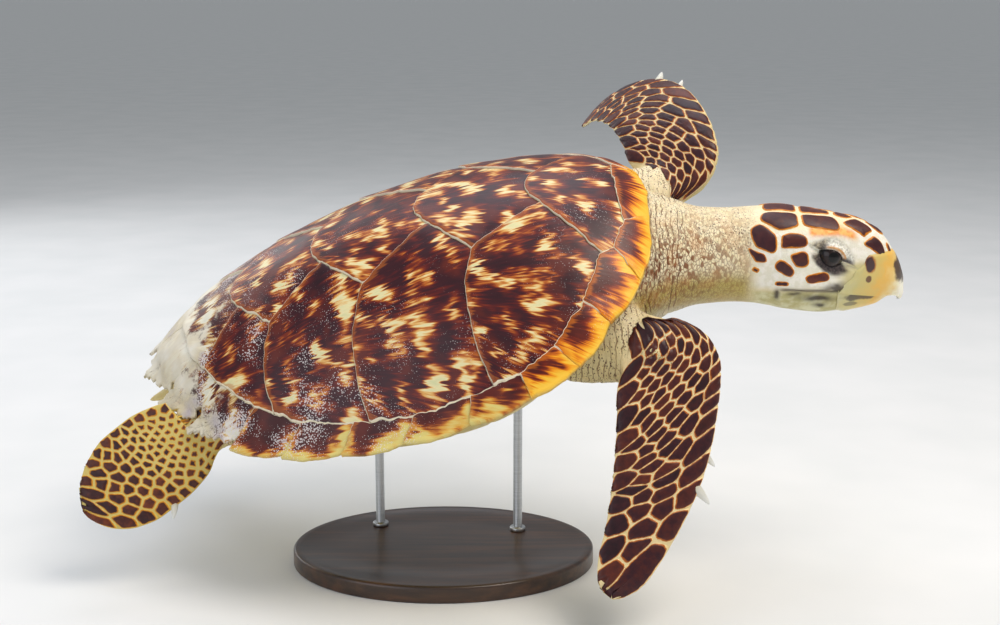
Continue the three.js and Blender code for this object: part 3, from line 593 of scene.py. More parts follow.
# A plate is a fan of rings between its middle and its outline, laid on the dome, with the rear
# edge lifted over its neighbour, its edges rounded, and a wall and an underside that close it
def makeScute(name, places, key, seed, freeSide=None):
    line = np.array(places) * shellLength
    line[:, 0], line[:, 1] = shellLength / 2 - line[:, 0], -line[:, 1]
    spans = np.linalg.norm(np.roll(line, -1, axis=0) - line, axis=1)
    steps = np.concatenate([[0], np.cumsum(spans)])
    s = np.sort(np.concatenate([np.linspace(0, steps[-1], scute["around"], endpoint=False) + 1e-6]))
    closed = np.vstack([line, line[:1]])
    edge = np.stack([np.interp(s, steps, closed[:, k]) for k in (0, 1)], -1)
    flat = np.column_stack([edge, np.zeros(len(edge))])
    stray = np.stack([noise(flat, 9.0, 1) + 0.5 * noise(flat, 3.5, 2),
        noise(flat, 9.0, 3) + 0.5 * noise(flat, 3.5, 4)], -1)
    area = 0.5 * np.sum(edge[:, 0] * np.roll(edge[:, 1], -1) - np.roll(edge[:, 0], -1) * edge[:, 1])
    if area < 0:
        edge, stray = edge[::-1], stray[::-1]
    along = unit(np.roll(edge, -1, axis=0) - np.roll(edge, 1, axis=0))
    outward = np.stack([along[:, 1], -along[:, 0]], -1)
    share0, _, _ = shellShare(0.5 - edge[:, 0] / shellLength, -edge[:, 1] / shellLength)
    free = ease(0.955, 0.985, share0) * (freeSide is not None)
    edge = edge + stray * scute["wander"] * (1 - 0.6 * free)[:, None] - outward * scute["inset"]
    if freeSide == "ragged":
        jag = noise(np.column_stack([edge, np.full(len(edge), 5.0)]), 5.5, 7) + 0.6 * noise(flat, 2.4, 8)
        edge = edge + outward * (free * (jag * scute["ragged"] - 1.0))[:, None]
    centre = edge.mean(0)
    grid = centre + ringShares[:, None, None] * (edge - centre)
    plan = grid.reshape(-1, 2)
    rearFacing = (outward[:, 0] < -0.35) & (free < 0.5)
    gaps = distances(plan, edge)
    edgeGap = gaps.min(1)
    rearGap = np.where(rearFacing, gaps, 99).min(1)
    frontGap = np.where(outward[:, 0] > 0.35, gaps, 99).min(1)
    freeGap = np.where(free > 0.5, gaps, 99).min(1)
    share, a0, r0 = shellShare(0.5 - plan[:, 0] / shellLength, -plan[:, 1] / shellLength)
    top = domeTop(share, a0, r0)
    low = top - skinDepth(share)
    lift = scute["lip"] * (1 - ease(0, scute["lipReach"], rearGap)) - scute["tuck"] * (1
        - ease(0, 14, frontGap))
    round_ = scute["groove"] * (1 - ease(0, scute["grooveReach"], edgeGap))
    broad = 0.8 * noise(np.column_stack([plan, np.full(len(plan), seed)]), 22.0, 9)
    height = top + lift - round_ + broad * ease(0, 20, edgeGap)
    thin = ease(0, 26, freeGap) if freeSide else 1.0
    low = np.minimum(low + (1 - thin) * 1.2, height - 1.2)
    rings, around = len(ringShares), len(edge)
    upper = np.column_stack([plan, height])
    bottomRows = [rings - 1, rings - 4, 8, 0]
    lower = np.column_stack([plan, low]).reshape(rings, around, 3)[bottomRows].reshape(-1, 3)
    points = np.concatenate([upper, lower])
    order = list(range(rings)) + [rings + k for k in range(len(bottomRows))]
    r, c = np.meshgrid(np.arange(len(order) - 1), np.arange(around), indexing="ij")
    a, b = r * around + c, r * around + (c + 1) % around
    quads = np.stack([a, b, b + around, a + around], -1).reshape(-1, 4)
    inner = (quads[:, 0] // around == 0) | (quads[:, 2] // around == len(order) - 1)
    hubTop, hubLow = len(points), len(points) + 1
    points = np.vstack([points, upper[:1], lower[-1:]])
    ring1 = around + np.arange(around)
    lastRing = (len(order) - 2) * around + np.arange(around)
    fanTop = np.stack([np.full(around, hubTop), np.roll(ring1, -1), ring1], -1)
    fanLow = np.stack([np.full(around, hubLow), lastRing, np.roll(lastRing, -1)], -1)
    faces = [quads[~inner], fanTop, fanLow]
    used = np.unique(np.concatenate([f.ravel() for f in faces]))
    renumber = np.zeros(len(points), int)
    renumber[used] = np.arange(len(used))
    faces = [renumber[f] for f in faces]
    flatPlan = np.concatenate([plan, plan.reshape(rings, around, 2)[bottomRows].reshape(-1, 2), plan[:1],
        plan[:1]])
    gapsAll = [np.concatenate([g, g.reshape(rings, around)[bottomRows].ravel(), g[:1], g[:1]])
               for g in (edgeGap, rearGap, freeGap)]
    under = np.concatenate([np.zeros(len(upper)), np.ones(len(lower)), [0, 1]])
    under[len(upper):len(upper) + around] = 0.4
    # the rays fan out from a place behind the plate's rear edge
    length = np.ptp(edge[:, 0])
    root = np.array([edge[:, 0].min() - 0.9 * length, centre[1] * 0.92])
    away = flatPlan - root
    reach = np.linalg.norm(away, axis=1)
    angle = np.arctan2(away[:, 1], away[:, 0])
    fan = np.stack([angle * 1.4 * length, reach, np.full(len(reach), seed * 3.7)], -1)
    points, faces = facingOut(points[used], faces)
    piece = buildMesh(name, fromShell(points), faces, hornMaterials[key])
    setAttribute(piece, "fan", fan[used])
    setAttribute(piece, "rim", np.stack([np.where(under > 0.5, 9, gapsAll[0]), gapsAll[1], gapsAll[2]],
        -1)[used])
    setAttribute(piece, "under", under[used])
    aft = ease(0.25, 0.95, 0.5 - flatPlan[:, 0] / shellLength)
    lowDown = ease(0.35, 0.9, np.concatenate([share, share.reshape(rings, around)[bottomRows].ravel(),
        share[:1], share[:1]]))
    setAttribute(piece, "crust", (np.clip(0.12 + aft * 0.75 + lowDown * 0.35, 0,
        1.1) * (1 + hornLooks[key]["specks"]))[used])
    setAttribute(piece, "wear", ease(0.84, 0.95, 0.5 - flatPlan[:, 0] / shellLength)[used])
    slots = {"back": "back_scutes", "frontRim": "rim_scutes", "sideRim": "rim_scutes", "tail": "tail_scutes"}
    return place(piece, slots[key], [name.replace("plate", "scute")])


nuchal = wholeOutline([(0.003, 0), rimTip[0], corner["nuchal"]])
makeScute("plate_nuchal", nuchal, "frontRim", 1, "whole")
for i, places in enumerate(vertebralOutlines()):
    makeScute(f"plate_vertebral_{i + 1}", places, "tail" if i == 4 else "back", 10 + i)
for side in ("right", "left"):
    shift = 0 if side == "right" else 50
    for i, places in enumerate(costalOutlines()):
        makeScute(f"plate_costal_{side}_{i + 1}", places if side == "right" else mirrored(places), "back",
            20 + i + shift)
    for i, places in enumerate(marginalOutlines()):
        key = "frontRim" if i < 4 else "sideRim" if i < 9 else "tail"
        edgeKind = "ragged" if i >= 9 else "whole"
        makeScute(f"plate_marginal_{side}_{i + 1}", places if side == "right" else mirrored(places), key,
            30 + i + shift, edgeKind)
print("scutes made")


# ---- flesh: closed surfaces of the trunk, neck and head, limbs and tail, joined into one skin ----

coatDepth = 0.8 # how far the skin lies inside the solids, under the scales

neckStations = [
    ((150, 8, 5), 96, 62), ((212, 4, 6), 98, 76), ((252, 1, 12), 88, 76), ((288, -2, 20), 66, 62),
    ((321, -4, 20.5), 52, 52), ((350, -5, 21.5), 47, 50.5),
]
headStations = np.array([ # from the nape: x, crown, chin, half width
    (0, 54.5, -47.5, 46), (15, 56, -49.5, 46.5), (32, 56, -53, 46.5), (53, 53.5, -55.5, 45),
    (74, 50.5, -56.5, 42), (90, 48, -54.5, 38), (105, 44.5, -51.5, 32.5), (119, 38.5, -48.5, 26),
    (129, 31.5, -45.5, 21), (137.5, 22, -40.5, 16), (146, 7, -38, 10.5), (151.5, -6, -39, 7),
    (155.5, -21, -40, 3.5),
], float)
headSquareness = 2.3
mouth = { # x and z of the mouth's line, and of the upper sheath's rear edge
    "line": ((30, -21), (88, -24), (100, -26.4), (120, -30.5), (142, -35), (157, -38)),
    "sheath": ((86, -26), (88, -24), (118, 13), (128, 25)), "nose": 13.0,
}
eye = {
    "radius": 14.5, "at": (77.0, 27.3, 13.0), "gaze": (0.2, 0.97, 0.1),
    "halfLength": 14.0, "above": 7.6, "below": 11.4, "slant": -27.0, # the opening, lower at its front
    "lid": 2.3, # thickness of the lids
    "sink": 3.2, # how far the skin inside the opening lies behind the eyeball's surface
    "orbit": (27.0, 20.0), # the soft ring of the lids, along and across the opening
}


# A ring's points: across = cos^(2/power), up = sin^(2/power), each with its sign
def oval(turn, power):
    c, s = np.cos(turn), np.sin(turn)
    return np.sign(c) * np.abs(c) ** (2 / power), np.sign(s) * np.abs(s) ** (2 / power)


# The head's surface at x from the nape and an angle: -90 the chin, 0 the right side, 90 the crown
def headSurface(x, degrees, proud=0.0):
    crown, chin, wide = (curveThrough(x, headStations[:, 0], headStations[:, k]) for k in (1, 2, 3))
    across, up = oval(np.radians(degrees), headSquareness)
    middle = (crown + chin) / 2
    half = (crown - chin) / 2 + proud
    return np.stack([x + 0 * across, -across * (wide + proud), middle + up * half], -1)


def neckAndHead():
    centres, sides, ups, wide, high, power = [], [], [], [], [], []
    for at, w, h in neckStations:
        centres.append(at)
        sides.append((0, 1, 0))
        ups.append((0, 0, 1))
        wide.append(w)
        high.append(h)
        power.append(2.0)
    for x, crown, chin, w in headStations:
        centres.append(fromHead(np.array([x, 0, (crown + chin) / 2])))
        sides.append(headTurn[:, 1])
        ups.append(headTurn[:, 2])
        wide.append(w)
        high.append((crown - chin) / 2)
        power.append(headSquareness)
    centres = np.array(centres, float)
    gone = np.linalg.norm(np.diff(centres[: len(neckStations) + 1], axis=0), axis=1)
    knots = np.concatenate([np.cumsum(np.concatenate([[0], gone])),
        np.cumsum(gone)[-1] + headStations[1:, 0]])
    nape, end = knots[len(neckStations)], knots[-1]
    s = np.concatenate([np.arange(0, nape, 2.3), np.arange(nape, nape + 50, 1.6),
        np.arange(nape + 50, nape + 125, 0.95),
                        np.linspace(nape + 125, end, 26)])
    # points lie closer together at the eyes and the mouth
    fine = np.linspace(0, 360, 1441)
    spread = 1 + sum(1.5 * bell(fine - a, 30) for a in (18, 162)) + sum(1.3 * bell(fine - a, 9)
        for a in (329, 211))
    turns = np.interp(np.arange(204) / 204, (np.cumsum(spread) - spread[0]) / (np.cumsum(spread)[-1]
        - spread[0]), fine)
    across, up = oval(np.radians(turns)[None, :], curveThrough(s, knots, power)[:, None])
    centre, side, upward = (curveThrough(s, knots, v) for v in (centres, sides, ups))
    w = curveThrough(s, knots, wide)[:, None] - coatDepth
    h = curveThrough(s, knots, high)[:, None] - coatDepth
    return centre[:, None] - (across * w)[..., None] * unit(side)[:, None] + (up * h)[...,
        None] * unit(upward)[:, None]


frontPaddle = np.array([ # out along the paddle, leading edge, trailing edge, half thickness
    (-14, 18, -6, 9), (-6, 48, -14, 12), (6, 64, -19, 13), (28, 75, -24, 13), (60, 77.5, -26.5, 11.5),
    (95, 77, -22, 10), (130, 73.5, -18.5, 8.5), (165, 65, -17, 7), (200, 52.5, -17.5, 5.8),
    (230, 39.5, -20, 4.6), (252, 26, -17.5, 3.6), (263, 12, -8, 2.6), (267, 2, -1, 0.9),
], float)
rearPaddle = np.array([
    (-34, 22, -22, 14), (-8, 33, -34, 13.5), (20, 47, -47, 11), (50, 52, -52.5, 9), (80, 52.5, -51.5, 7),
    (105, 47, -43.5, 5.5), (126, 34, -29, 4.2), (139, 15, -11, 2.8), (142.5, 3, -1, 1.0),
], float)
limbs = {
    "flipper_front_right": {
        "paddle": frontPaddle, "bendFrom": 40, "length": 268, "dorsal": 1,
        "at": (260, -114.5, -33), "out": (-0.15, -0.31, -0.94), "lead": (0.98, 0.08, -0.19),
        "flap": 4, "sweep": 1.5, "twist": 5,
        "joint": (150, -85, -66), "jointRadius": 46, "elbow": (24, 18), "elbowRadius": 31,
        "claws": [(147, 17, 4.6), (116, 10, 3.2)],
    },
    "flipper_front_left": {
        "paddle": frontPaddle, "bendFrom": 40, "length": 268, "dorsal": -1,
        "at": (294.5, 97, 67.5), "out": (-0.24, 0.61, 0.76), "lead": (0.84, -0.27, 0.48),
        "flap": 54, "sweep": 66.5, "twist": 45,
        "joint": (150, 85, -62), "jointRadius": 48, "elbow": (12, 6), "elbowRadius": 32,
        "claws": [(147, 17, 4.6), (116, 10, 3.2)],
    },
    "flipper_rear_right": {
        "paddle": rearPaddle, "bendFrom": 30, "length": 146, "dorsal": 1,
        "at": (-208, -55, -156), "out": (-0.8, -0.125, -0.587), "lead": (0.6, -0.166, -0.782),
        "flap": 8, "sweep": 0, "twist": 0,
        "joint": (-150, -70, -72), "jointRadius": 34, "elbow": (-10, 0), "elbowRadius": 26,
        "claws": [(62, 13, 3.6)],
    },
    "flipper_rear_left": {
        "paddle": rearPaddle, "bendFrom": 30, "length": 146, "dorsal": -1,
        "at": (-190, 142, -112), "out": (-0.5, 0.66, -0.56), "lead": (0.5, 0.74, 0.45),
        "flap": 8, "sweep": 0, "twist": 0,
        "joint": (-150, 70, -72), "jointRadius": 34, "elbow": (-10, 0), "elbowRadius": 26,
        "claws": [(62, 13, 3.6)],
    },
}


# The frame along a paddle. Past bendFrom it turns steadily by flap out of its plane, by sweep
# within it, and by twist about its length; the middle line is the sum of its directions
def paddleFrame(limb, p):
    out = unit(np.array(limb["out"], float))
    lead = np.array(limb["lead"], float)
    lead = unit(lead - out * (lead @ out))
    axes = np.stack([out, lead, np.cross(out, lead)])

    def bent(q):
        return np.maximum((q - limb["bendFrom"]) / (limb["length"] - limb["bendFrom"]), 0)

    def direction(q):
        flap, sweep = np.radians(limb["flap"]) * bent(q), np.radians(limb["sweep"]) * bent(q)
        return np.stack([np.cos(flap) * np.cos(sweep), -np.sin(sweep) * np.cos(flap), np.sin(flap)], -1)

    step = 0.5
    marks = np.arange(0, limb["length"] + 10, step)
    spine = np.vstack([np.zeros(3), np.cumsum(direction(marks + step / 2) * step, axis=0)])
    marks = np.append(marks, marks[-1] + step)
    middle = np.stack([np.interp(p, marks, spine[:, k]) for k in range(3)], -1)
    middle[..., 0] += np.minimum(p, 0)
    sweep, twist = np.radians(limb["sweep"]) * bent(p), np.radians(limb["twist"]) * bent(p)
    chord = np.stack([np.sin(sweep) * np.cos(twist), np.cos(sweep) * np.cos(twist), np.sin(twist)], -1)
    normal = unit(np.cross(direction(p), chord))
    return middle @ axes + np.array(limb["at"]), chord @ axes, normal @ axes, direction(p) @ axes


# A paddle's skin: an oval across the chord, thicker towards the leading edge
def paddleSurface(limb, p, turn):
    at, chord, normal, _ = paddleFrame(limb, p)
    front, rear, thick = (curveThrough(p, limb["paddle"][:, 0], limb["paddle"][:, k]) for k in (1, 2, 3))
    along = (front + rear) / 2 + ((front - rear) / 2 - coatDepth) * np.cos(turn)
    lift = np.maximum(thick - coatDepth, 0.4) * (0.8 + 0.35 * np.cos(turn)) * np.sin(turn)
    return at + chord * along[..., None] + normal * lift[..., None]


def paddleTube(limb, step, sides):
    first, last = limb["paddle"][0, 0], limb["paddle"][-1, 0]
    p = np.concatenate([np.arange(first, last - 14, step), np.linspace(last - 14, last - 0.01, 9)])
    p, turn = np.meshgrid(p, np.arange(sides) / sides * 2 * np.pi, indexing="ij")
    return paddleSurface(limb, p, turn)


# The upper arm or thigh: ovals from the joint inside the trunk to the paddle
def armTube(limb, sides=56, count=42):
    joint = fromShell(np.array(limb["joint"], float))
    at, chord, normal, _ = paddleFrame(limb, np.array(float(limb["elbow"][0])))
    line = at + chord * limb["elbow"][1] - joint
    side = unit(np.cross(unit(line), normal))
    up = unit(np.cross(side, line))
    share = np.linspace(0, 1.14, count)
    fade = curveThrough(share, [0, 0.35, 0.7, 1, 1.14], [1, 1.05, 0.95, 0.8, 0.3])
    radius = (limb["jointRadius"] + (limb["elbowRadius"] - limb["jointRadius"]) * np.minimum(share, 1)) * fade
    turn = np.arange(sides) / sides * 2 * np.pi
    wide = (radius * 1.15 - coatDepth)[:, None, None] * np.cos(turn)[None, :, None] * side
    high = (radius * (1 - 0.35 * share) - coatDepth)[:, None, None] * np.sin(turn)[None, :, None] * up
    return joint + share[:, None, None] * line + wide + high


tailPath = {"root": (-225, 0, -52), "tip": (-318, 0, -60), "wide": 21, "high": 15}


def tailTube(sides=40, count=46):
    root, tip = (fromShell(np.array(tailPath[k], float)) for k in ("root", "tip"))
    share = np.linspace(0, 1, count)
    fade = curveThrough(share, [0, 0.45, 0.8, 0.97, 1], [1, 0.72, 0.36, 0.14, 0.05])[:, None, None]
    turn = np.arange(sides) / sides * 2 * np.pi
    oval_ = (tailPath["wide"] - coatDepth) * np.cos(turn)[:, None] * shellTurn[:, 1]
    oval_ = oval_ + (tailPath["high"] - coatDepth) * np.sin(turn)[:, None] * shellTurn[:, 2]
    return root + share[:, None, None] * (tip - root) + fade * oval_


# The trunk: rings between the bony dome and the belly, down one side and back up the other
def trunkTube(sides=150, count=26):
    reach = belly["reach"]
    share = np.concatenate([np.linspace(0.02, reach, count), np.linspace(reach - 0.004, 0.02, count)])
    turn = (np.arange(sides) + 0.5) / sides * 2 * np.pi
    a = (1 - np.cos(turn)) / 2
    r = np.sign(np.sin(turn)) * halfWidth(a)
    share, a0 = np.broadcast_arrays(share[:, None], a[None, :])
    r0 = np.broadcast_to(r, share.shape)
    top = domeTop(share, a0, r0) - skinDepth(share) - gap - coatDepth
    low = np.minimum(bellyHeight(share, a0, r0) + coatDepth, top - 1)
    upper = np.arange(2 * count)[:, None] < count
    height = np.where(upper, top, low)
    return fromShell(planToShell(0.5 + (a0 - 0.5) * share, r0 * share, height))


sources = {"trunk": trunkTube(), "neck": neckAndHead(), "tail": tailTube()}
for name, limb in limbs.items():
    front = limb["paddle"] is frontPaddle
    sources[name] = paddleTube(limb, 2.3 if front else 2.6, 76 if front else 60)
    sources[name + "_arm"] = armTube(limb)


# Joins closed tubes into one body and says which tube each triangle comes from
def joined(tubes):
    pieces = []
    for i, (name, rings) in enumerate(tubes.items()):
        piece = buildMesh("join_" + name, *tube(rings))
        for _ in tubes:
            piece.data.materials.append(None)
        piece.data.polygons.foreach_set("material_index", np.full(len(piece.data.polygons), i, np.int32))
        pieces.append(piece)
    for other in pieces[1:]:
        cut = pieces[0].modifiers.new("join", "BOOLEAN")
        cut.operation = "UNION"
        cut.solver = "MANIFOLD"
        cut.object = other
    whole = pieces[0].evaluated_get(bpy.context.evaluated_depsgraph_get()).to_mesh()
    whole.calc_loop_triangles()
    points = np.empty(len(whole.vertices) * 3, np.float32)
    whole.vertices.foreach_get("co", points)
    tris = np.empty(len(whole.loop_triangles) * 3, np.int32)
    whole.loop_triangles.foreach_get("vertices", tris)
    face = np.empty(len(whole.loop_triangles), np.int32)
    whole.loop_triangles.foreach_get("polygon_index", face)
    source = np.empty(len(whole.polygons), np.int32)
    whole.polygons.foreach_get("material_index", source)
    for piece in pieces:
        bpy.data.objects.remove(piece)
    return points.reshape(-1, 3).astype(float) * 1000 - origin, tris.reshape(-1, 3), source[face]


flesh, fleshTris, fleshSource = joined(sources)
print("flesh joined:", len(flesh), "points,", len(fleshTris), "triangles")


# ---- the skin: joints filled and smoothed, then folds, lids and the mouth pressed in ----

skinShape = {
    "filletReach": 24.0, # how far from where two parts meet the skin is smoothed, mm
    "filletTurns": 46,
    "foldDepth": 2.3, # creases round the base of the neck and the limbs
    "foldEvery": 7.5,
}


def edgesOf(tris):
    pairs = np.sort(np.concatenate([tris[:, [0, 1]], tris[:, [1, 2]], tris[:, [2, 0]]]), axis=1)
    return np.unique(pairs, axis=0)


def neighbourMean(values, edges, count):
    total = np.zeros((count,) + values.shape[1:])
    number = np.bincount(edges.ravel(), minlength=count)
    for k in range(values.shape[1]):
        total[:, k] = np.bincount(edges[:, 0], values[edges[:, 1], k], count)
        total[:, k] += np.bincount(edges[:, 1], values[edges[:, 0], k], count)
    return total / np.maximum(number, 1)[:, None]


fleshEdges = edgesOf(fleshTris)
kinds = len(sources)
share = np.zeros((len(flesh), kinds))
for k in range(3):
    np.add.at(share, (fleshTris[:, k], fleshSource), 1)
share /= share.sum(1, keepdims=True)
meeting = share.max(1) < 0.999
fromMeeting = np.where(meeting, 0.0, 1e3)
span = np.linalg.norm(flesh[fleshEdges[:, 0]] - flesh[fleshEdges[:, 1]], axis=1)
for _ in range(26):
    before = fromMeeting.copy()
    np.minimum.at(fromMeeting, fleshEdges[:, 0], before[fleshEdges[:, 1]] + span)
    np.minimum.at(fromMeeting, fleshEdges[:, 1], before[fleshEdges[:, 0]] + span)
soften = (1 - ease(5, skinShape["filletReach"], fromMeeting))[:, None] * 0.6
for _ in range(skinShape["filletTurns"]):
    flesh = flesh + soften * (neighbourMean(flesh, fleshEdges, len(flesh)) - flesh)
for _ in range(10):
    share = 0.4 * share + 0.6 * neighbourMean(share, fleshEdges, len(flesh))
names = list(sources)
partShare = {
    "neck": share[:, names.index("neck")],
    "front": sum(share[:, names.index(n)] for n in names if n.startswith("flipper_front")
    and not n.endswith("arm")),
    "rear": sum(share[:, names.index(n)] for n in names if n.startswith("flipper_rear")
    and not n.endswith("arm")),
    "arm": sum(share[:, names.index(n)] for n in names if n.endswith("arm")),
    "trunk": share[:, names.index("trunk")],
    "tail": share[:, names.index("tail")],
}

# creases across the neck and limbs near the shell, from the valleys of a wandering wave
normals = vertexNormals(flesh, fleshTris)
inHead = toHead(flesh)
neckRun = flesh[:, 0]
nearShell = partShare["neck"] * (1
    - ease(272, 318, neckRun)) + 0.9 * partShare["arm"] + 0.5 * partShare["trunk"]
wave = (neckRun * 0.95 - flesh[:, 2] * 0.22 + 5.5 * noise(flesh, 26.0, 21)) / skinShape["foldEvery"]
limbWave = (flesh @ unit(np.array([0.75, -0.3, 0.6])) + 6 * noise(flesh, 30.0, 22)) / 8.5
crease = bell(np.abs(wave - np.round(wave)), 0.16) * partShare["neck"]
crease = crease + bell(np.abs(limbWave - np.round(limbWave)), 0.18) * (partShare["arm"] + partShare["trunk"])
strength = (0.5 + 0.75 * noise(flesh, 15.0, 23)).clip(0, 1) * nearShell
flesh = flesh - normals * (skinShape["foldDepth"] * crease * strength)[:, None]
# painted shade: how strongly the shader darkens the creases near the shell
foldShadeAmount = np.clip(nearShell + 0.3 * partShare["neck"] * (1 - ease(300, 360, neckRun)), 0, 1)
flesh = flesh + normals * (0.45 * noise(flesh, 5.0, 24) * np.clip(nearShell + 0.25 * partShare["neck"], 0, 1)
                           * (1 - ease(-10, 20, inHead[:, 0])))[:, None]

# the jaw: a groove along the mouth, the lower jaw a little narrower, and room for the horny beak
inHead = toHead(flesh)
onHead = ease(5, 22, inHead[:, 0]) * partShare["neck"]
mouthX, mouthZ = np.array(mouth["line"], float).T
sheathX, sheathZ = np.array(mouth["sheath"], float).T
drop = inHead[:, 2] - curveThrough(inHead[:, 0], mouthX, mouthZ)
alongMouth = ease(mouthX[0] - 2, mouthX[0] + 10, inHead[:, 0]) * (np.abs(inHead[:, 1]) > 6)
groove = 2.6 * bell(drop, 1.5) * alongMouth
cheek = 1.6 * bell(drop - 5, 4.0) * bell(inHead[:, 0] - 62, 30)
below = 1.8 * ease(1.0, -4.0, drop) * ease(-24, -9, drop) * alongMouth
covered = ease(1, 8, inHead[:, 0] - np.interp(inHead[:, 2], sheathZ, sheathX)) * ease(mouth["nose"] + 1,
    mouth["nose"] - 5, inHead[:, 2])
beakRoom = 3.0 * np.maximum(covered * (drop > -2), ease(90, 97, inHead[:, 0]) * ease(1, -2, drop))
sideways = np.column_stack([0 * drop, -np.sign(inHead[:, 1]), 0 * drop]) * (groove + below
    - cheek * alongMouth)[:, None]
nostril = sum(bell(np.linalg.norm(inHead - [142.5, side * 5.6, 15.5], axis=1), 2.1) for side in (-1, 1))
flesh = flesh + (sideways * onHead[:, None]) @ headTurn.T - normals * ((beakRoom + 2.4 * nostril) * onHead)[:,
    None]
brow = 2.2 * bell(inHead[:, 0] - 76, 22) * bell(inHead[:, 2] - 35, 6) * ease(12, 18, np.abs(inHead[:, 1]))
flesh = flesh + normals * (brow * onHead)[:, None]


# The eye's own axes for a side: forward along the slanted opening, up across it, and the gaze
def eyeAxes(side):
    gaze = unit(np.array(eye["gaze"]) * [1, side, 1])
    forward = unit(np.array([1, 0, 0]) - gaze * gaze[0])
    up = np.cross(forward, gaze) * side
    c, s = math.cos(math.radians(eye["slant"])), math.sin(math.radians(eye["slant"]))
    return np.array(eye["at"]) * [1, side, 1], forward * c + up * s, up * c - forward * s, gaze


# Lids: skin near an eye is drawn onto a sphere one lid larger than the eyeball, and inside the
# opening it drops behind the eyeball; the lids' edge is the crest between the two
lidAmount, lidUpper, paintedLidShade, lidEdge = (np.zeros(len(flesh)) for _ in range(4))
for side in (-1, 1):
    centre, forward, up, gaze = eyeAxes(side)
    inHead = toHead(flesh)
    off = inHead - centre
    far = np.linalg.norm(off, axis=1)
    direction = off / np.maximum(far, 1e-6)[:, None]
    angle = np.degrees(np.arccos(np.clip(direction @ gaze, -1, 1)))
    u, w = eye["radius"] * (direction @ forward), eye["radius"] * (direction @ up)
    bow = np.clip(1 - (u / eye["halfLength"]) ** 2, 0, 1)
    inside = np.minimum(eye["above"] * bow**0.8 - w, w + eye["below"] * bow**0.6)
    inside = np.where(np.abs(u) < eye["halfLength"], inside, eye["halfLength"] - np.abs(u))
    beside = onHead * (far < 46) * (angle < 88)
    lidRadius = eye["radius"] + eye["lid"] + 0.5 * bell(inside + 1.0,
        1.3) + 0.35 * np.sin(inside * 1.9) * ease(-1, -4, inside)
    toHeadAgain = ease(46, 80, angle)
    shaped = lidRadius + (far - lidRadius) * toHeadAgain
    shaped = np.where(inside > 0, np.minimum(shaped, eye["radius"] + eye["lid"]
        - (eye["lid"] + eye["sink"]) * ease(0, 1.5, inside)), shaped)
    moved = centre + direction * shaped[:, None]
    flesh = flesh + ((moved - inHead) * beside[:, None]) @ headTurn.T
    facing = ease(4, 14, inHead[:, 1] * side) * onHead
    ahead, over = off @ forward, off @ up
    around = np.hypot(ahead / eye["orbit"][0], over / eye["orbit"][1]) + 0.08 * noise(inHead, 9.0, 61)
    near = facing * (1 - ease(0.86, 1.05, around))
    lidAmount += near
    lidUpper += near * ease(-1.0, 1.5, w - 0.1 * u + 1.0) * ease(-17, -8, ahead)
    # painted shade: the skin below, ahead of and behind the eye's opening is darkened as if shaded by the
    # lids
    darkAround = np.hypot((ahead - 2) / 25.0, (over + 2.5) / 18.5) + 0.1 * noise(inHead, 7.0, 62)
    underLid = np.maximum(ease(2.5, -1.5, w + 0.15 * u - 5 * ease(8, 14, ahead)),
        0.8 * ease(-7, -12, ahead) * ease(12, 7, over))
    paintedLidShade += facing * ease(1.1, 0.82, darkAround) * underLid
    lidEdge += beside * bell(inside + 0.4, 0.9) * ease(-1.5, 1.0, w) * ease(-12, -7, ahead) * ease(17, 13,
        ahead)

# under the shell nothing comes above the bony plates' underside
inShell = flesh @ shellTurn
placeAlong, placeRight = 0.5 - inShell[:, 0] / shellLength, -inShell[:, 1] / shellLength
share_, a0, r0 = shellShare(placeAlong, placeRight)
ceiling = domeTop(share_, a0, r0) - skinDepth(share_) - 0.5
over = (share_ < 1.05) & (inShell[:, 2] > ceiling) & (inShell[:, 2] < ceiling + 60)
inShell[:, 2] = np.where(over, ceiling, inShell[:, 2])
flesh = fromShell(inShell)
normals = vertexNormals(flesh, fleshTris)

# zones that colour the skin
inHead = toHead(flesh)
neckMiddle = curveThrough(flesh[:, 0], [150, 212, 252, 288, 321, 350, 375, 540],
    [5, 6, 12, 20, 20.5, 21.5, 20, 15])
height = (flesh[:, 2] - neckMiddle) / 55
neckOnly = partShare["neck"] * (1 - ease(-12, 8, inHead[:, 0]))
headOnly = partShare["neck"] * ease(-8, 10, inHead[:, 0])
speckle = neckOnly * (0.5 + 0.5 * bell(height - 0.1, 0.55)) * (1 - 0.5 * ease(0.55, 1.0, height)) * (1
    - 0.6 * ease(-0.6, -0.95, height))
speckle = speckle * (0.55 + 0.45 * (1 - ease(290, 370, flesh[:,
    0]))) + 0.12 * partShare["arm"] + 0.1 * partShare["trunk"]
olive = neckOnly * ease(-0.05, -0.45, height) * (1 - ease(-0.8, -1.0, height))
olive = olive + 0.55 * (partShare["trunk"] + partShare["arm"]) * ease(-20, -60, flesh[:, 2])
olive = olive + headOnly * 0.3 * ease(-0.2, -0.6, height)
# Paint of the face: an orange band over the upper lid, whiter cheeks, horn-coloured lips behind
# the beak, and smudges of dark on the jaw; each smudge is (x, z, half length, half height, slope)
browLine = curveThrough(inHead[:, 0], [50, 57, 84, 96, 106], [39.5, 39, 38.5, 35, 31])
onSide = ease(10, 15, np.abs(inHead[:, 1]))
browOrange = headOnly * np.clip(1.25 * bell(inHead[:, 2] - browLine, 4.0), 0, 1) * ease(52, 58,
    inHead[:, 0]) * ease(108, 98, inHead[:, 0]) * onSide
lips = headOnly * ease(78, 98, inHead[:, 0]) * ease(12, 2, inHead[:, 2])
smudges = [(84, -19, 10, 4.4, 0.1), (64, -31.5, 16, 3.6, -0.08), (25, -27, 2.8, 6, 0), (69, -40, 6, 3, 0),
    (42, -26, 6, 1.8, 0.1), (96, -21, 8, 3, 0.1)]
smudged = sum(bell(np.hypot((inHead[:, 0] - x) / a, (inHead[:, 2] - z - k * (inHead[:, 0] - x)) / c), 1.05)
              for x, z, a, c, k in smudges)
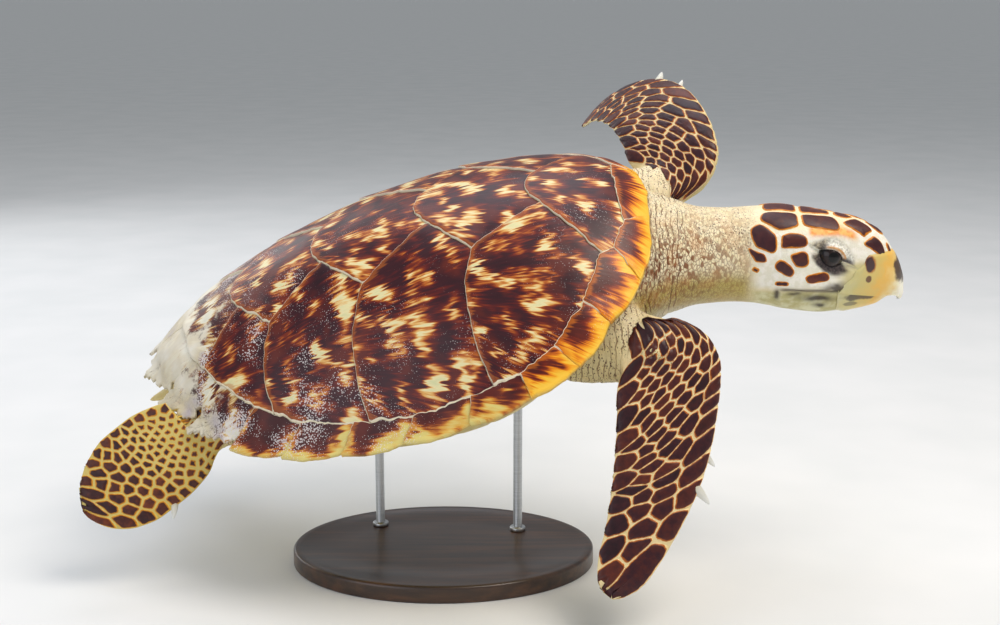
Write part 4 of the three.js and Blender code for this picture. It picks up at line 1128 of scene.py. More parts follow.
smudged = headOnly * np.clip(smudged * (1.15 + 0.75 * noise(inHead, 6.0, 63)), 0, 1)
dottedSkin = np.clip(partShare["arm"] + 0.7 * partShare["trunk"], 0, 1) + neckOnly * ease(-0.2, 0.5,
    height) * 0.8
# painted shade along the mouth's groove, joined with the real dark smudges on the jaw
mouthShadeAndSmudges = headOnly * bell(inHead[:, 2] - curveThrough(inHead[:, 0], mouthX, mouthZ), 1.9) * ease(20, 34,
    inHead[:, 0])
mouthShadeAndSmudges = np.maximum(mouthShadeAndSmudges, smudged)
# painted shade: the underside of the neck and head is coloured greyer and darker
shadeBelow = (neckOnly + headOnly) * ease(-0.55, -0.95, height)
jaw = headOnly * ease(-20, -27, inHead[:, 2])


def skinMaterial():
    # reptile skin: soft, matt keratin over living tissue, IOR 1.45, granules 3 mm across
    material, add = newMaterial("reptile_skin")
    body = add("TexCoord", out="Object")

    groundAndShade = add("SeparateXYZ", add("Attribute", attribute_name="groundAndShade", out="Vector"), out=None)
    parts = add("SeparateXYZ", add("Attribute", attribute_name="parts", out="Vector"), out=None)
    lids = add("SeparateXYZ", add("Attribute", attribute_name="lids", out="Vector"), out=None)
    speckled, oliveGround, paintedShadeBelow = (groundAndShade[k] for k in range(3))
    frontLimb, rearLimb, jawGround = (parts[k] for k in range(3))
    lid, upper, edge = (lids[k] for k in range(3))
    # the painted shade of the lids round the eye
    dark = add("Attribute", attribute_name="paintedLidShade", out="Fac")
    creases = add("SeparateXYZ", add("Attribute", attribute_name="creases", out="Vector"), out=None)
    paintedFoldShade, dotted, shadedMouthAndSmudges = (creases[k] for k in range(3))
    face = add("SeparateXYZ", add("Attribute", attribute_name="face", out="Vector"), out=None)
    orangeBrow, whiteCheek, hornLips = (face[k] for k in range(3))

    warp = add("TexNoise", {"Vector": body, "Scale": 160.0, "Detail": 1.0}, out="Color")
    warped = add("VectorMath ADD", body, add("VectorMath SCALE", {0: warp, "Scale": 0.0022}))
    stretched = add("Mapping", {"Vector": warped, "Scale": (1.25, 1.0, 0.72), "Rotation": (0.0, 0.35, 0.0)})
    dots = add("TexVoronoi", {"Vector": stretched, "Scale": 430.0}, out="Distance")
    granules = add("TexVoronoi", {"Vector": stretched, "Scale": 290.0}, feature="DISTANCE_TO_EDGE",
        out="Distance")
    cells = add("TexVoronoi", {"Vector": stretched, "Scale": 290.0}, out="Color")
    cellTone = add("SeparateXYZ", cells)
    patch = add("TexNoise", {"Vector": body, "Scale": 1000.0 / 14.0, "Detail": 3.0})
    between = add("MapRange SMOOTHSTEP", granules, 0.16, 0.03)
    brownCell = add("MapRange SMOOTHSTEP", add("Math ADD", cellTone,
        add("Math MULTIPLY", add("Math SUBTRACT", patch, 0.5), 1.1)), 0.62, 0.8)
    dot = add("Math MULTIPLY", add("MapRange SMOOTHSTEP",
        add("Math ADD", dots, add("Math MULTIPLY", add("Math SUBTRACT", patch, 0.5), 0.5)), 0.34, 0.2),
        dotted)
    marks = add("Math MAXIMUM", add("Math MULTIPLY", between, 0.75), brownCell)
    cream = add("MixRGB", patch, "#f6ecd0", "#ead9a8")
    cream = add("MixRGB", add("Math MULTIPLY", oliveGround, 0.85), cream, "#b7a248")
    # painted shade under the neck and head: the cream turns grey
    cream = add("MixRGB", add("Math MULTIPLY", paintedShadeBelow, 0.6), cream, "#b9b191")
    brown = add("MixRGB", patch, "#5c2c16", "#94562a")
    skin = add("MixRGB", add("Math MULTIPLY", marks, add("Math MULTIPLY", speckled, 0.95)), cream, brown)
    skin = add("MixRGB", dot, skin, "#43201a")
    # creases 5.5 mm apart, running round the neck and the shoulder, with painted shade in them
    waves = add("TexWave", {"Vector": warped, "Scale": 57.0, "Distortion": 7.0, "Detail": 2.0,
        "Detail Scale": 0.8}, out="Fac")
    crease = add("Math MULTIPLY", add("MapRange SMOOTHSTEP", waves, 0.8, 0.98),
        add("Math MULTIPLY", paintedFoldShade, add("MapRange SMOOTHSTEP",
        add("TexNoise", {"Vector": body, "Scale": 1000.0 / 19.0, "Detail": 2.0}), 0.38, 0.55)))
    # painted shade in the creases
    skin = add("MixRGB", add("Math MULTIPLY", crease, 0.75), skin, "#5e3318")
    blush = add("Math MULTIPLY", add("Math MULTIPLY", add("MapRange SMOOTHSTEP",
        add("TexNoise", {"Vector": body, "Scale": 1000.0 / 22.0, "Detail": 2.0}), 0.45, 0.7), speckled), 0.4)
    skin = add("MixRGB", blush, skin, "#cf8a4a")
    skin = add("MixRGB", add("Math MULTIPLY", frontLimb, 0.9), skin,
        add("MixRGB", add("TexNoise", {"Vector": body, "Scale": 1000.0 / 9.0, "Detail": 2.0}), "#e9d8ac",
        "#d3b878"))
    skin = add("MixRGB", add("Math MULTIPLY", rearLimb, 0.95), skin,
        add("MixRGB", add("TexNoise", {"Vector": body, "Scale": 1000.0 / 16.0, "Detail": 2.0}), "#d8c478",
        "#c3a848"))
    jawTone = add("MixRGB", add("MapRange SMOOTHSTEP", add("TexNoise",
        {"Vector": body, "Scale": 1000.0 / 13.0, "Detail": 3.0}), 0.35, 0.65), "#dcdab4", "#b5ae74")
    skin = add("MixRGB", add("Math MULTIPLY", jawGround, 0.85), skin, jawTone)
    skin = add("MixRGB", add("Math MULTIPLY", hornLips, 0.75), skin,
        add("MixRGB", add("TexNoise", {"Vector": body, "Scale": 1000.0 / 8.0, "Detail": 3.0}), "#cfc890",
        "#bcae6c"))
    skin = add("MixRGB", add("Math MULTIPLY", whiteCheek, 0.75), skin,
        add("MixRGB", add("MapRange SMOOTHSTEP", add("TexNoise",
        {"Vector": body, "Scale": 1000.0 / 7.0, "Detail": 4.0}), 0.4, 0.6), "#faf8f2", "#eae8dc"))
    skin = add("MixRGB", add("Math MULTIPLY", orangeBrow, 0.9), skin,
        add("MixRGB", add("MapRange SMOOTHSTEP", add("TexNoise",
        {"Vector": body, "Scale": 1000.0 / 5.0, "Detail": 3.0}), 0.4, 0.6), "#ef8d1e", "#f5b450"))
    # painted shade in the mouth's groove, and the jaw's own dark smudges
    skin = add("MixRGB", add("Math MULTIPLY", shadedMouthAndSmudges, 0.88), skin, "#2b1c22")
    wrinkle = add("TexNoise", {"Vector": body, "Scale": 420.0, "Detail": 4.0}, out="Fac")
    folds = add("MapRange SMOOTHSTEP", wrinkle, 0.35, 0.65)
    lidTone = add("MixRGB", upper, add("MixRGB", folds, "#6a5f50", "#b5a98c"),
        add("MixRGB", folds, "#b9b6aa", "#f2f0e6"))
    skin = add("MixRGB", add("Math MULTIPLY", lid, 0.9), skin, lidTone)
    # painted shade round the eye: the lids near the opening turn almost black
    skin = add("MixRGB", add("Math MULTIPLY", dark, 0.9), skin, add("MixRGB", folds, "#17101a", "#3a2c36"))
    skin = add("MixRGB", add("Math MULTIPLY", edge, 0.9), skin, "#cf8a2a")
    cavity = add("Math MULTIPLY", add("MapRange SMOOTHSTEP", granules, 0.0, 0.2),
        add("Math ADD", speckled, 0.35))
    relief = add("Math ADD", add("Math MULTIPLY", cavity, 1.1), add("Math MULTIPLY", wrinkle, 0.35))
    relief = add("Math SUBTRACT", relief, add("Math MULTIPLY", crease, 1.6))
    bump = add("Bump", {"Height": relief, "Strength": 0.55, "Distance": 0.0007})
    shader = add("BsdfPrincipled", {"Base Color": skin, "Roughness": add("Math ADD",
        add("Math MULTIPLY", wrinkle, 0.2), 0.38), "IOR": 1.45, "Specular IOR Level": 0.35,
        "Subsurface Weight": 0.08, "Subsurface Radius": (0.004, 0.002, 0.001), "Subsurface Scale": 1.0,
        "Normal": bump})
    add("OutputMaterial", shader)
    return material


skin = buildMesh("skin", flesh, [fleshTris], skinMaterial())
setAttribute(skin, "groundAndShade", np.stack([np.clip(speckle, 0, 1), np.clip(olive, 0, 1), shadeBelow], -1))
setAttribute(skin, "parts", np.stack([partShare["front"], partShare["rear"] + 0.7 * partShare["tail"], jaw],
    -1))
setAttribute(skin, "lids", np.clip(np.stack([lidAmount, lidUpper, lidEdge], -1), 0, 1))
setAttribute(skin, "paintedLidShade", np.clip(paintedLidShade, 0, 1))
setAttribute(skin, "creases", np.clip(np.stack([foldShadeAmount, dottedSkin, mouthShadeAndSmudges], -1), 0, 1))
cheekWhite = headOnly * ease(-25, -15, inHead[:, 2]) * ease(46, 34, inHead[:, 2]) * (1 - lips)
setAttribute(skin, "face", np.clip(np.stack([browOrange, cheekWhite, lips], -1), 0, 1))
place(skin, "skin", ["trunk", "neck", "head", "tail"] + list(limbs))
print("skin made:", len(fleshTris), "triangles")


# ---- beak ----

beak = {
    "proud": 0.7, "wall": 2.8, "overlap": 1.6, "hook": -42.0,
    "frontAt": ((14, 142.0), (8, 145.6), (-6, 151.8), (-21, 155.8), (-36, 156.6), (-42, 154.0)),
    "lowerFront": 148.0, "lowerInset": 0.9,
}


# Half width of the head at x and a height, from its oval section
def headHalfWidth(x, z):
    crown, chin, wide = (curveThrough(x, headStations[:, 0], headStations[:, k]) for k in (1, 2, 3))
    off = np.abs((z - (crown + chin) / 2) / ((crown - chin) / 2))
    return wide * np.clip(1 - off**headSquareness, 0, 1) ** (1 / headSquareness)


# A closed body between two grids[n, m, 3] of the same shape, stitched round the edge
def slab(outer, inner):
    n, m = outer.shape[:2]
    points = np.concatenate([outer.reshape(-1, 3), inner.reshape(-1, 3)])
    r, c = np.meshgrid(np.arange(n - 1), np.arange(m - 1), indexing="ij")
    a = (r * m + c).ravel()
    quads = np.stack([a, a + 1, a + m + 1, a + m], -1)
    loop = np.concatenate([np.arange(m), np.arange(1, n) * m + m - 1, (n - 1) * m + np.arange(m - 2, -1, -1),
                           np.arange(n - 2, 0, -1) * m])
    after = np.roll(loop, -1)
    size = n * m
    walls = np.stack([after, loop, loop + size, after + size], -1)
    return facingOut(points, [quads, quads[:, ::-1] + size, walls])


def upperBeak():
    t, k = np.meshgrid(np.linspace(-1, 1, 131), np.linspace(0, 1, 48), indexing="ij")
    nose = 1 - np.abs(t)
    lipX = 156 - (156 - mouthX[1]) * t * t
    low = curveThrough(lipX, mouthX, mouthZ) - beak["overlap"]
    low = low + (beak["hook"] - low) * ease(0.7, 1.0, nose) + 0.5 * np.sin(nose * 11) * (1 - nose)
    top = mouth["nose"] + 0.3 * np.sin(t * 9)
    z = low + (top - low) * k
    back = np.interp(z, sheathZ, sheathX) + 1.2 * np.sin(z * 0.45)
    heights, places = (np.array(v, float)[::-1] for v in zip(*beak["frontAt"]))
    front = curveThrough(z, heights, places)
    x = front - (front - back) * t * t
    sharp = np.minimum(1, np.sqrt(np.maximum(front - x, 0) / 5.0))
    inHead = headHalfWidth(np.minimum(x, 155.4), np.maximum(z, -39.0))
    wide = inHead * (1 + (sharp - 1) * ease(-10, -22, z))
    edgeThin = ease(0.0, 0.07, 1 - k) * ease(0.0, 0.05, 1 - np.abs(t))
    proud = -0.7 + (beak["proud"] + 0.9) * edgeThin + 0.5 * bell(z - low, 3.0)
    return beakGrid(x, t, wide, z, proud), beakGrid(x, t, wide, z, np.minimum(proud - 0.6, -beak["wall"]))


def beakGrid(x, t, wide, z, proud):
    y = np.sign(t) * (wide + proud * np.minimum(1, np.sqrt(np.abs(t) * 5)))
    return np.stack([x + proud * (1 - np.abs(t)) ** 2, y, z], -1)


def lowerBeak():
    x, turn = np.meshgrid(np.linspace(mouthX[1] - 1, beak["lowerFront"], 58), np.linspace(0, np.pi, 56),
        indexing="ij")
    chin = curveThrough(x, headStations[:, 0], headStations[:, 2])
    top = curveThrough(x, mouthX, mouthZ) + 0.4
    run = np.clip((beak["lowerFront"] - x) / 16, 0, 1)
    point = np.sqrt(1 - (1 - run) ** 2)
    # its rear edge lies in the skin
    sunk = beak["lowerInset"] + 2.0 * (1 - ease(mouthX[1] - 1, mouthX[1] + 9, x))
    wide = (headHalfWidth(np.minimum(x, 150), np.maximum(top, chin + 4)) - sunk) * point
    deep = (top - chin + 1.2 - sunk) * (0.25 + 0.75 * point)
    across = np.sign(np.cos(turn)) * np.abs(np.cos(turn)) ** 0.75
    down = np.abs(np.sin(turn)) ** 0.95
    hull = np.stack([x, -across * np.maximum(wide, 0.3), top - deep * down], -1)
    roof = np.linspace(hull[:, -1], hull[:, 0], 8, axis=1)[:, 1:-1]
    return np.concatenate([hull, roof], axis=1)


# Horn sheath of the beak: dense keratin worn smooth, IOR 1.55, growth lines 1.5 mm apart
def beakHorn(name, spots):
    material, add = newMaterial(name)
    body = add("TexCoord", out="Object")
    where = add("Attribute", attribute_name="head", out="Vector")
    xyz = add("SeparateXYZ", where, out=None)
    blotch = add("TexNoise", {"Vector": body, "Scale": 75.0, "Detail": 4.0}, out="Fac")
    fine = add("TexNoise", {"Vector": body, "Scale": 500.0, "Detail": 3.0}, out="Fac")
    lift = add("Math ADD", blotch, -0.5)
    # the clear, paler horn lies at the tip and along the cutting edge
    lean = add("Math MULTIPLY_ADD", xyz[2], -0.3, xyz[0])
    forward = add("MapRange", lean, 96.0, 163.0)
    tone = add("Math MULTIPLY_ADD", lift, 0.45, forward)
    colour = add("ValToRGB", tone, stops=[ (0.0, "#cfc99a"), (0.25, "#cdc07e"), (0.45, "#dcbf6a"),
        (0.62, "#ebba55"), (0.78, "#ecca7c"), (0.92, "#f3e9c6"), (1.0, "#f8f4e2")])
    for at, spread, amount, shade in spots:
        off = add("VectorMath SUBTRACT", where, at)
        scaled = add("VectorMath MULTIPLY", off, tuple(1 / v for v in spread))
        far = add("VectorMath LENGTH", scaled, out="Value")
        wobble = add("Math MULTIPLY_ADD", lift, 1.6, far)
        spot = add("MapRange SMOOTHSTEP", wobble, 1.2, 0.76)
        strength = add("Math MULTIPLY", spot, amount)
        colour = add("MixRGB", strength, colour, shade)
    lines = add("TexWave", {"Vector": where, "Scale": 0.16, "Distortion": 3.0, "Detail": 2.0,
        "Detail Scale": 0.4}, bands_direction="Z", out="Fac")
    relief = add("Math MULTIPLY_ADD", lines, 0.35, fine)
    bump = add("Bump", {"Height": relief, "Strength": 0.3, "Distance": 0.0004})
    shader = add("BsdfPrincipled", {"Base Color": colour, "Roughness": 0.34, "IOR": 1.55, "Normal": bump,
        "Subsurface Weight": 0.1, "Subsurface Radius": (0.004, 0.0025, 0.001), "Subsurface Scale": 1.0})
    add("OutputMaterial", shader)
    return material


upperSpots = [
    ((151.5, 0.0, -7.0), (9.5, 13.0, 18.0), 0.92, "#33202a"),
    ((119.0, -26.0, 3.0), (5.6, 9.0, 9.4), 0.9, "#b5651c"),
    ((119.0, 26.0, 3.0), (5.6, 9.0, 9.4), 0.9, "#b5651c"),
    ((118.5, -26.0, 3.0), (4.4, 9.0, 8.2), 0.95, "#33202a"),
    ((118.5, 26.0, 3.0), (4.4, 9.0, 8.2), 0.95, "#33202a"),
    ((118.0, -28.0, -12.5), (3.0, 8.0, 3.8), 0.9, "#5a2a18"),
    ((118.0, 28.0, -12.5), (3.0, 8.0, 3.8), 0.9, "#5a2a18"),
]
lowerSpots = [
    ((112.0, -24.0, -31.0), (24.0, 12.0, 5.0), 0.8, "#33232a"),
    ((112.0, 24.0, -31.0), (24.0, 12.0, 5.0), 0.8, "#33232a"),
    ((102.0, -30.0, -40.0), (9.0, 12.0, 2.6), 0.6, "#4a3a30"),
    ((102.0, 30.0, -40.0), (9.0, 12.0, 2.6), 0.6, "#4a3a30"),
]
outer, inner = upperBeak()
points, faces = slab(outer, inner)
upper = buildMesh("beak_upper_horn", fromHead(points), faces, beakHorn("beak_horn_upper", upperSpots))
setAttribute(upper, "head", points)
place(upper, "beak", ["beak_upper"])
points, faces = tube(lowerBeak())
lower = buildMesh("beak_lower_horn", fromHead(points), faces, beakHorn("beak_horn_lower", lowerSpots))
setAttribute(lower, "head", points)
place(lower, "beak", ["beak_lower"])


# ---- eyes: a wet ball, clear over a dark brown iris and a wide pupil ----

eyeLooks = {"pupil": 21.0, "iris": 43.0, "cornea": 0.9, "sides": 72, "rings": 56}


def eyeMaterial():
    material, add = newMaterial("wet_eye")
    look = add("SeparateXYZ", add("Attribute", attribute_name="look", out="Vector"), out=None)
    angle, around = look[0], look[1]
    streak = add("CombineXYZ", add("Math MULTIPLY", around, 9.0), add("Math MULTIPLY", angle, 0.05))
    fibre = add("TexNoise", {"Vector": streak, "Scale": 2.5, "Detail": 3.0}, out="Fac")
    iris = add("ValToRGB", fibre, stops=[(0.3, "#120a0d"), (0.7, "#2a1815")])
    atPupil = add("MapRange", angle, eyeLooks["pupil"] - 1, eyeLooks["pupil"] + 1)
    atWhite = add("MapRange", angle, eyeLooks["iris"] - 3, eyeLooks["iris"] + 3)
    colour = add("MixRGB", atPupil, "#050405", iris)
    colour = add("MixRGB", atWhite, colour, "#0e0a10")
    shader = add("BsdfPrincipled", {"Base Color": colour, "Roughness": 0.3, "IOR": 1.38,
        "Specular IOR Level": 0.3, "Coat Weight": 0.7, "Coat IOR": 1.34, "Coat Roughness": 0.03})
    add("OutputMaterial", shader)
    return material


wetEye = eyeMaterial()
for side, name in ((-1, "right"), (1, "left")):
    centre, forward, up, gaze = eyeAxes(side)
    angle, around = np.meshgrid(np.linspace(0.5, 179.5, eyeLooks["rings"]),
                                np.arange(eyeLooks["sides"]) / eyeLooks["sides"] * 2 * np.pi, indexing="ij")
    radius = eye["radius"] - 0.15 + eyeLooks["cornea"] * bell(angle, 30)
    a = np.radians(angle)
    ball = centre + radius[..., None] * (np.cos(a)[..., None] * gaze
        + (np.sin(a) * np.cos(around))[..., None] * forward
                                         + (np.sin(a) * np.sin(around))[..., None] * up)
    points, faces = tube(ball)
    piece = buildMesh(f"eyeball_{name}", fromHead(points), faces, wetEye)
    look = np.stack([angle.ravel(), np.cos(around).ravel() * 3, np.sin(around).ravel()], -1)
    setAttribute(piece, "look", np.vstack([look, [[0, 3, 0], [180, 3, 0]]]))
    place(piece, "eye", [f"eye_{name}"])


# ---- claws: horn cones, curved towards the tip of the paddle ----

def clawHorn():
    # solid keratin, pale and slightly translucent, with fine lengthwise lines
    material, add = newMaterial("claw_horn")
    body = add("TexCoord", out="Object")
    run = add("Attribute", attribute_name="run", out="Fac")
    stain = add("TexNoise", {"Vector": body, "Scale": 260.0, "Detail": 4.0}, out="Fac")
    tone = add("Math MULTIPLY_ADD", stain, 0.35, run)
    colour = add("ValToRGB", tone, stops=[(0.1, "#b5a070"), (0.45, "#cfcdc0"), (1.0, "#dcdcd6")])
    bump = add("Bump", {"Height": stain, "Strength": 0.25, "Distance": 0.0003})
    shader = add("BsdfPrincipled", {"Base Color": colour, "Roughness": 0.35, "IOR": 1.55, "Normal": bump})
    add("OutputMaterial", shader)
    return material


clawMaterial = clawHorn()
for limbName, limb in limbs.items():
    for i, (along, length, radius) in enumerate(limb["claws"]):
        at, chord, normal, outwards = paddleFrame(limb, np.array(float(along)))
        edgeAt = curveThrough(float(along), limb["paddle"][:, 0], limb["paddle"][:, 1])
        start = at + chord * (edgeAt - radius * 1.5)
        t = np.linspace(0, 1, 30)[:, None, None]
        turn = (np.arange(24) / 24 * 2 * np.pi)[None, :, None]
        heading = unit(0.85 * chord + 0.55 * outwards)
        bend = outwards * 0.18 * length * t**2
        middle = start + heading * (length + radius * 0.9) * t + bend
        thick = radius * 1.3 * np.maximum(1 - t, 0.02) ** 0.5
        ring = thick * (np.cos(turn) * unit(np.cross(heading, normal)) + 0.85 * np.sin(turn) * normal)
        points, faces = tube(middle + ring)
        piece = buildMesh(f"nail_{limbName[8:]}_{i + 1}", points, faces, clawMaterial)
        setAttribute(piece, "run", np.concatenate([np.repeat(t.ravel(), 24), [0, 1]]))
        place(piece, "claw", [f"{limbName.replace('flipper', 'claw')}_{i + 1}"])
print("beak, eyes and claws made")


# ---- plastron: the belly's horn plates, parted by grooves ----

plastronEdge = [
    (0.095, 0), (0.1, 0.07), (0.15, 0.135), (0.25, 0.185), (0.32, 0.23), (0.36, 0.33), (0.6, 0.325),
    (0.67, 0.22), (0.76, 0.16), (0.86, 0.115), (0.915, 0.05), (0.92, 0),
]
plastronSeams = [ # on the right of the midline; the left is their mirror
    [(0.09, 0), (0.92, 0)],
    [(0.165, 0), (0.15, 0.05), (0.115, 0.095)],
    [(0.285, 0), (0.295, 0.09), (0.27, 0.2)],
    [(0.42, 0), (0.43, 0.1), (0.425, 0.175)],
    [(0.57, 0), (0.575, 0.1), (0.58, 0.18)],
    [(0.69, 0), (0.7, 0.08), (0.735, 0.185)],
    [(0.835, 0), (0.85, 0.05), (0.865, 0.115)],
    [(0.27, 0.2), (0.34, 0.18), (0.45, 0.172), (0.6, 0.182), (0.66, 0.23)],
    [(0.405, 0.174), (0.4, 0.33)], [(0.47, 0.173), (0.475, 0.33)], [(0.54, 0.176), (0.545, 0.33)],
]
plastronShape = {"around": 190, "rings": 46, "groove": 1.5, "grooveWidth": 3.2, "keel": 3.0}


def plastronHorn():
    # thick, satin keratin, almost without pigment; dark stains near the seams
    material, add = newMaterial("belly_horn")
    body = add("TexCoord", out="Object")
    seam = add("Attribute", attribute_name="seam", out="Fac")
    cloud = add("TexNoise", {"Vector": body, "Scale": 22.0, "Detail": 4.0}, out="Fac")
    fine = add("TexNoise", {"Vector": body, "Scale": 300.0, "Detail": 3.0}, out="Fac")
    colour = add("ValToRGB", cloud, stops=[(0.25, "#c9ad56"), (0.5, "#dcc77c"), (0.75, "#e8dba2")])
    stain = add("MapRange SMOOTHSTEP", cloud, 0.6, 0.75)
    stain = add("Math MULTIPLY", stain, 0.45)
    colour = add("MixRGB", stain, colour, "#7c5226")
    line = add("MapRange SMOOTHSTEP", seam, 1.4, 0.4)
    line = add("Math MULTIPLY", line, 0.8)
    colour = add("MixRGB", line, colour, "#7a5a30")
    bump = add("Bump", {"Height": fine, "Strength": 0.3, "Distance": 0.0005})
    shader = add("BsdfPrincipled", {"Base Color": colour, "Roughness": 0.42, "IOR": 1.5, "Normal": bump})
    add("OutputMaterial", shader)
    return material


def openLineDistance(points, line):
    a, b = line[:-1], line[1:]
    d = b - a
    t = np.clip(((points[:, None] - a) * d).sum(-1) / (d * d).sum(-1), 0, 1)
    return np.linalg.norm(points[:, None] - a - t[..., None] * d, axis=-1).min(1)


line = np.array(wholeOutline(plastronEdge)) * shellLength
steps = np.concatenate([[0], np.cumsum(np.linalg.norm(np.diff(np.vstack([line, line[:1]]), axis=0), axis=1))])
marks = np.linspace(0, steps[-1], plastronShape["around"], endpoint=False)
edge = np.stack([np.interp(marks, steps, np.append(line[:, k], line[0, k])) for k in (0, 1)], -1)
for _ in range(3): # rounds the corners a little
    edge = 0.5 * edge + 0.25 * (np.roll(edge, 1, axis=0) + np.roll(edge, -1, axis=0))
middle = np.array([0.48 * shellLength, 0.0])
ring = 1 - (1 - np.linspace(0.02, 1, plastronShape["rings"])) ** 1.2
plan = (middle + ring[:, None, None] * (edge - middle)).reshape(-1, 2)
share, a0, r0 = shellShare(plan[:, 0] / shellLength, plan[:, 1] / shellLength)
high = bellyHeight(share, a0, r0) - gap
seams = np.min([openLineDistance(plan * [1, s], np.array(p) * shellLength) for p in plastronSeams
    for s in (-1, 1)], axis=0)
rimGap = distances(plan, edge).min(1)
keel = plastronShape["keel"] * bell(np.abs(plan[:, 1]) - 62, 16) * ease(0.16, 0.3,
    plan[:, 0] / shellLength) * (1 - ease(0.7, 0.9, plan[:, 0] / shellLength))
low = high - belly["plate"] - keel + plastronShape["groove"] * bell(seams,
    plastronShape["grooveWidth"]) + 2.4 * (1 - ease(0, 4, rimGap))
shape = (plastronShape["rings"], plastronShape["around"], 3)
lowGrid = planToShell(plan[:, 0] / shellLength, plan[:, 1] / shellLength, low).reshape(shape)
highGrid = planToShell(plan[:, 0] / shellLength, plan[:, 1] / shellLength, high).reshape(shape)
points, faces = tube(np.concatenate([lowGrid, highGrid[::-3]]))
plastron = buildMesh("belly_plates", fromShell(points), faces, plastronHorn())
seamGrid = seams.reshape(shape[:2])
setAttribute(plastron, "seam", np.concatenate([seamGrid.ravel(), seamGrid[::-3].ravel(), [0, 0]]))
place(plastron, "plastron", ["plastron"])
print("plastron made")


# ---- stand ----

stand = {"length": 330.0, "depth": 250.0, "thickness": 18.0, "edge": 3.5, "rod": 5.0, "pad": 15.0,
         "along": {"stand_rod_front": 88, "stand_rod_rear": -78}}


def stainedWood():
    # close-grained hardwood, stained dark, satin lacquer: pores 0.3 mm wide, rings about 6 mm apart
    material, add = newMaterial("stained_walnut")
    body = add("TexCoord", out="Object")
    grain = add("Mapping", {"Vector": body, "Scale": (1.0, 14.0, 14.0)})
    warp = add("TexNoise", {"Vector": grain, "Scale": 7.0, "Detail": 5.0, "Roughness": 0.6}, out="Fac")
    pores = add("TexNoise", {"Vector": add("Mapping", {"Vector": body, "Scale": (1.0, 40.0, 40.0)}),
        "Scale": 60.0, "Detail": 2.0}, out="Fac")
    colour = add("ValToRGB", warp, stops=[(0.3, "#23150d"), (0.5, "#3a2416"), (0.7, "#543520")])
    pore = add("MapRange", pores, 0.62, 0.7)
    pore = add("Math MULTIPLY", pore, 0.5)
    colour = add("MixRGB", pore, colour, "#160c07")
    bump = add("Bump", {"Height": pores, "Strength": 0.15, "Distance": 0.0003})
    shader = add("BsdfPrincipled", {"Base Color": colour, "Roughness": 0.38, "IOR": 1.5, "Coat Weight": 0.35,
        "Coat Roughness": 0.2, "Normal": bump})
    add("OutputMaterial", shader)
    return material


def brushedSteel():
    # stainless steel rod, brushed round its axis: fine rings 0.4 mm apart
    material, add = newMaterial("brushed_stainless_steel")
    body = add("TexCoord", out="Object")
    rings = add("Mapping", {"Vector": body, "Scale": (20.0, 20.0, 2500.0)})
    brush = add("TexNoise", {"Vector": rings, "Scale": 1.0, "Detail": 2.0}, out="Fac")
    rough = add("MapRange", {"Value": brush, 3: 0.26, 4: 0.42})
    bump = add("Bump", {"Height": brush, "Strength": 0.08, "Distance": 0.0002})
    colour = add("ValToRGB", brush, stops=[(0.3, "#a9abad"), (0.7, "#c3c5c6")])
    shader = add("BsdfPrincipled", {"Base Color": colour, "Metallic": 1.0, "Roughness": rough,
        "Normal": bump})
    add("OutputMaterial", shader)
    return material


# The base: ellipses whose size and height follow a rounded profile
bevel = np.linspace(0, np.pi / 2, 9)
softBevel = np.linspace(0, np.pi / 2, 10)
edge, lowerEdge, thick = stand["edge"], stand["edge"] * 0.35, stand["thickness"]
inset = np.concatenate([[60], lowerEdge * (1 - np.sin(softBevel)), edge * (1 - np.cos(bevel)), [9, 10.2, 60]])
level = np.concatenate([
    [0], lowerEdge * (1 - np.cos(softBevel)), thick - edge * (1 - np.sin(bevel)),
    [thick, thick - 0.8, thick - 0.8]])
turn = np.arange(160) / 160 * 2 * np.pi
ellipse = np.stack([
    standPlan["centre"][0] + (stand["length"] / 2 - inset[:, None]) * np.cos(turn),
    standPlan["centre"][1] + (stand["depth"] / 2 - inset[:, None]) * np.sin(turn),
    np.broadcast_to(standPlan["floor"] + level[:, None], (len(level), len(turn)))], -1)
base = buildMesh("stand_base_wood", *tube(ellipse), stainedWood())
place(base, "stand_wood", ["stand_base"])

steel = brushedSteel()
for name, along in stand["along"].items():
    foot = standPlan["floor"] + stand["thickness"] + gap - 1.0
    touch = fromShell(np.array([along, 0, belly["level"] * shellLength - belly["plate"] - gap]))
    turn = np.arange(48) / 48 * 2 * np.pi
    normal = shellTurn[:, 2]
    # each ring stands at a share of the way from level to parallel with the belly
    radii = [0.5, 8.5, 9.0, 9.0, 8.4, stand["rod"], stand["rod"], stand["rod"] + 1, stand["pad"] - 1.5,
        stand["pad"], stand["pad"], stand["pad"] - 0.6, 0.5]
    drops = [None, None, None, None, None, None, 30, 16, 9, 7.5, 1.8, 0.9, 0.9]
    levels = [0, 0, 0.8, 3.4, 4.4, 4.6]
    rings = []
    for i, radius in enumerate(radii):
        x, y = touch[0] + radius * np.cos(turn), touch[1] + radius * np.sin(turn)
        if drops[i] is None:
            z = np.full(len(turn), foot + levels[i])
        else:
            lean = ease(30, 12, drops[i])
            slope = -((x - touch[0]) * normal[0] + (y - touch[1]) * normal[1]) / normal[2]
            z = touch[2] - drops[i] + slope * lean
        rings.append(np.stack([x, y, z], -1))
    rod = buildMesh(name + "_steel", *tube(np.array(rings)), steel)
    split = rod.modifiers.new("edges", "BEVEL")
    split.width, split.segments, split.limit_method, split.angle_limit = 0.0004, 2, "ANGLE", math.radians(35)
    place(rod, "stand_steel", [name])
print("stand made")


# ---- scales: solid plates of horn over the skin ----

scaleShape = {"angles": 32, "height": 1.0, "rise": 0.8, "root": -0.5, "corner": 14.0}
scaleRings = np.array([1.0, 1.0, 0.95, 0.88, 0.76, 0.5]) # the first ring is the foot in the skin


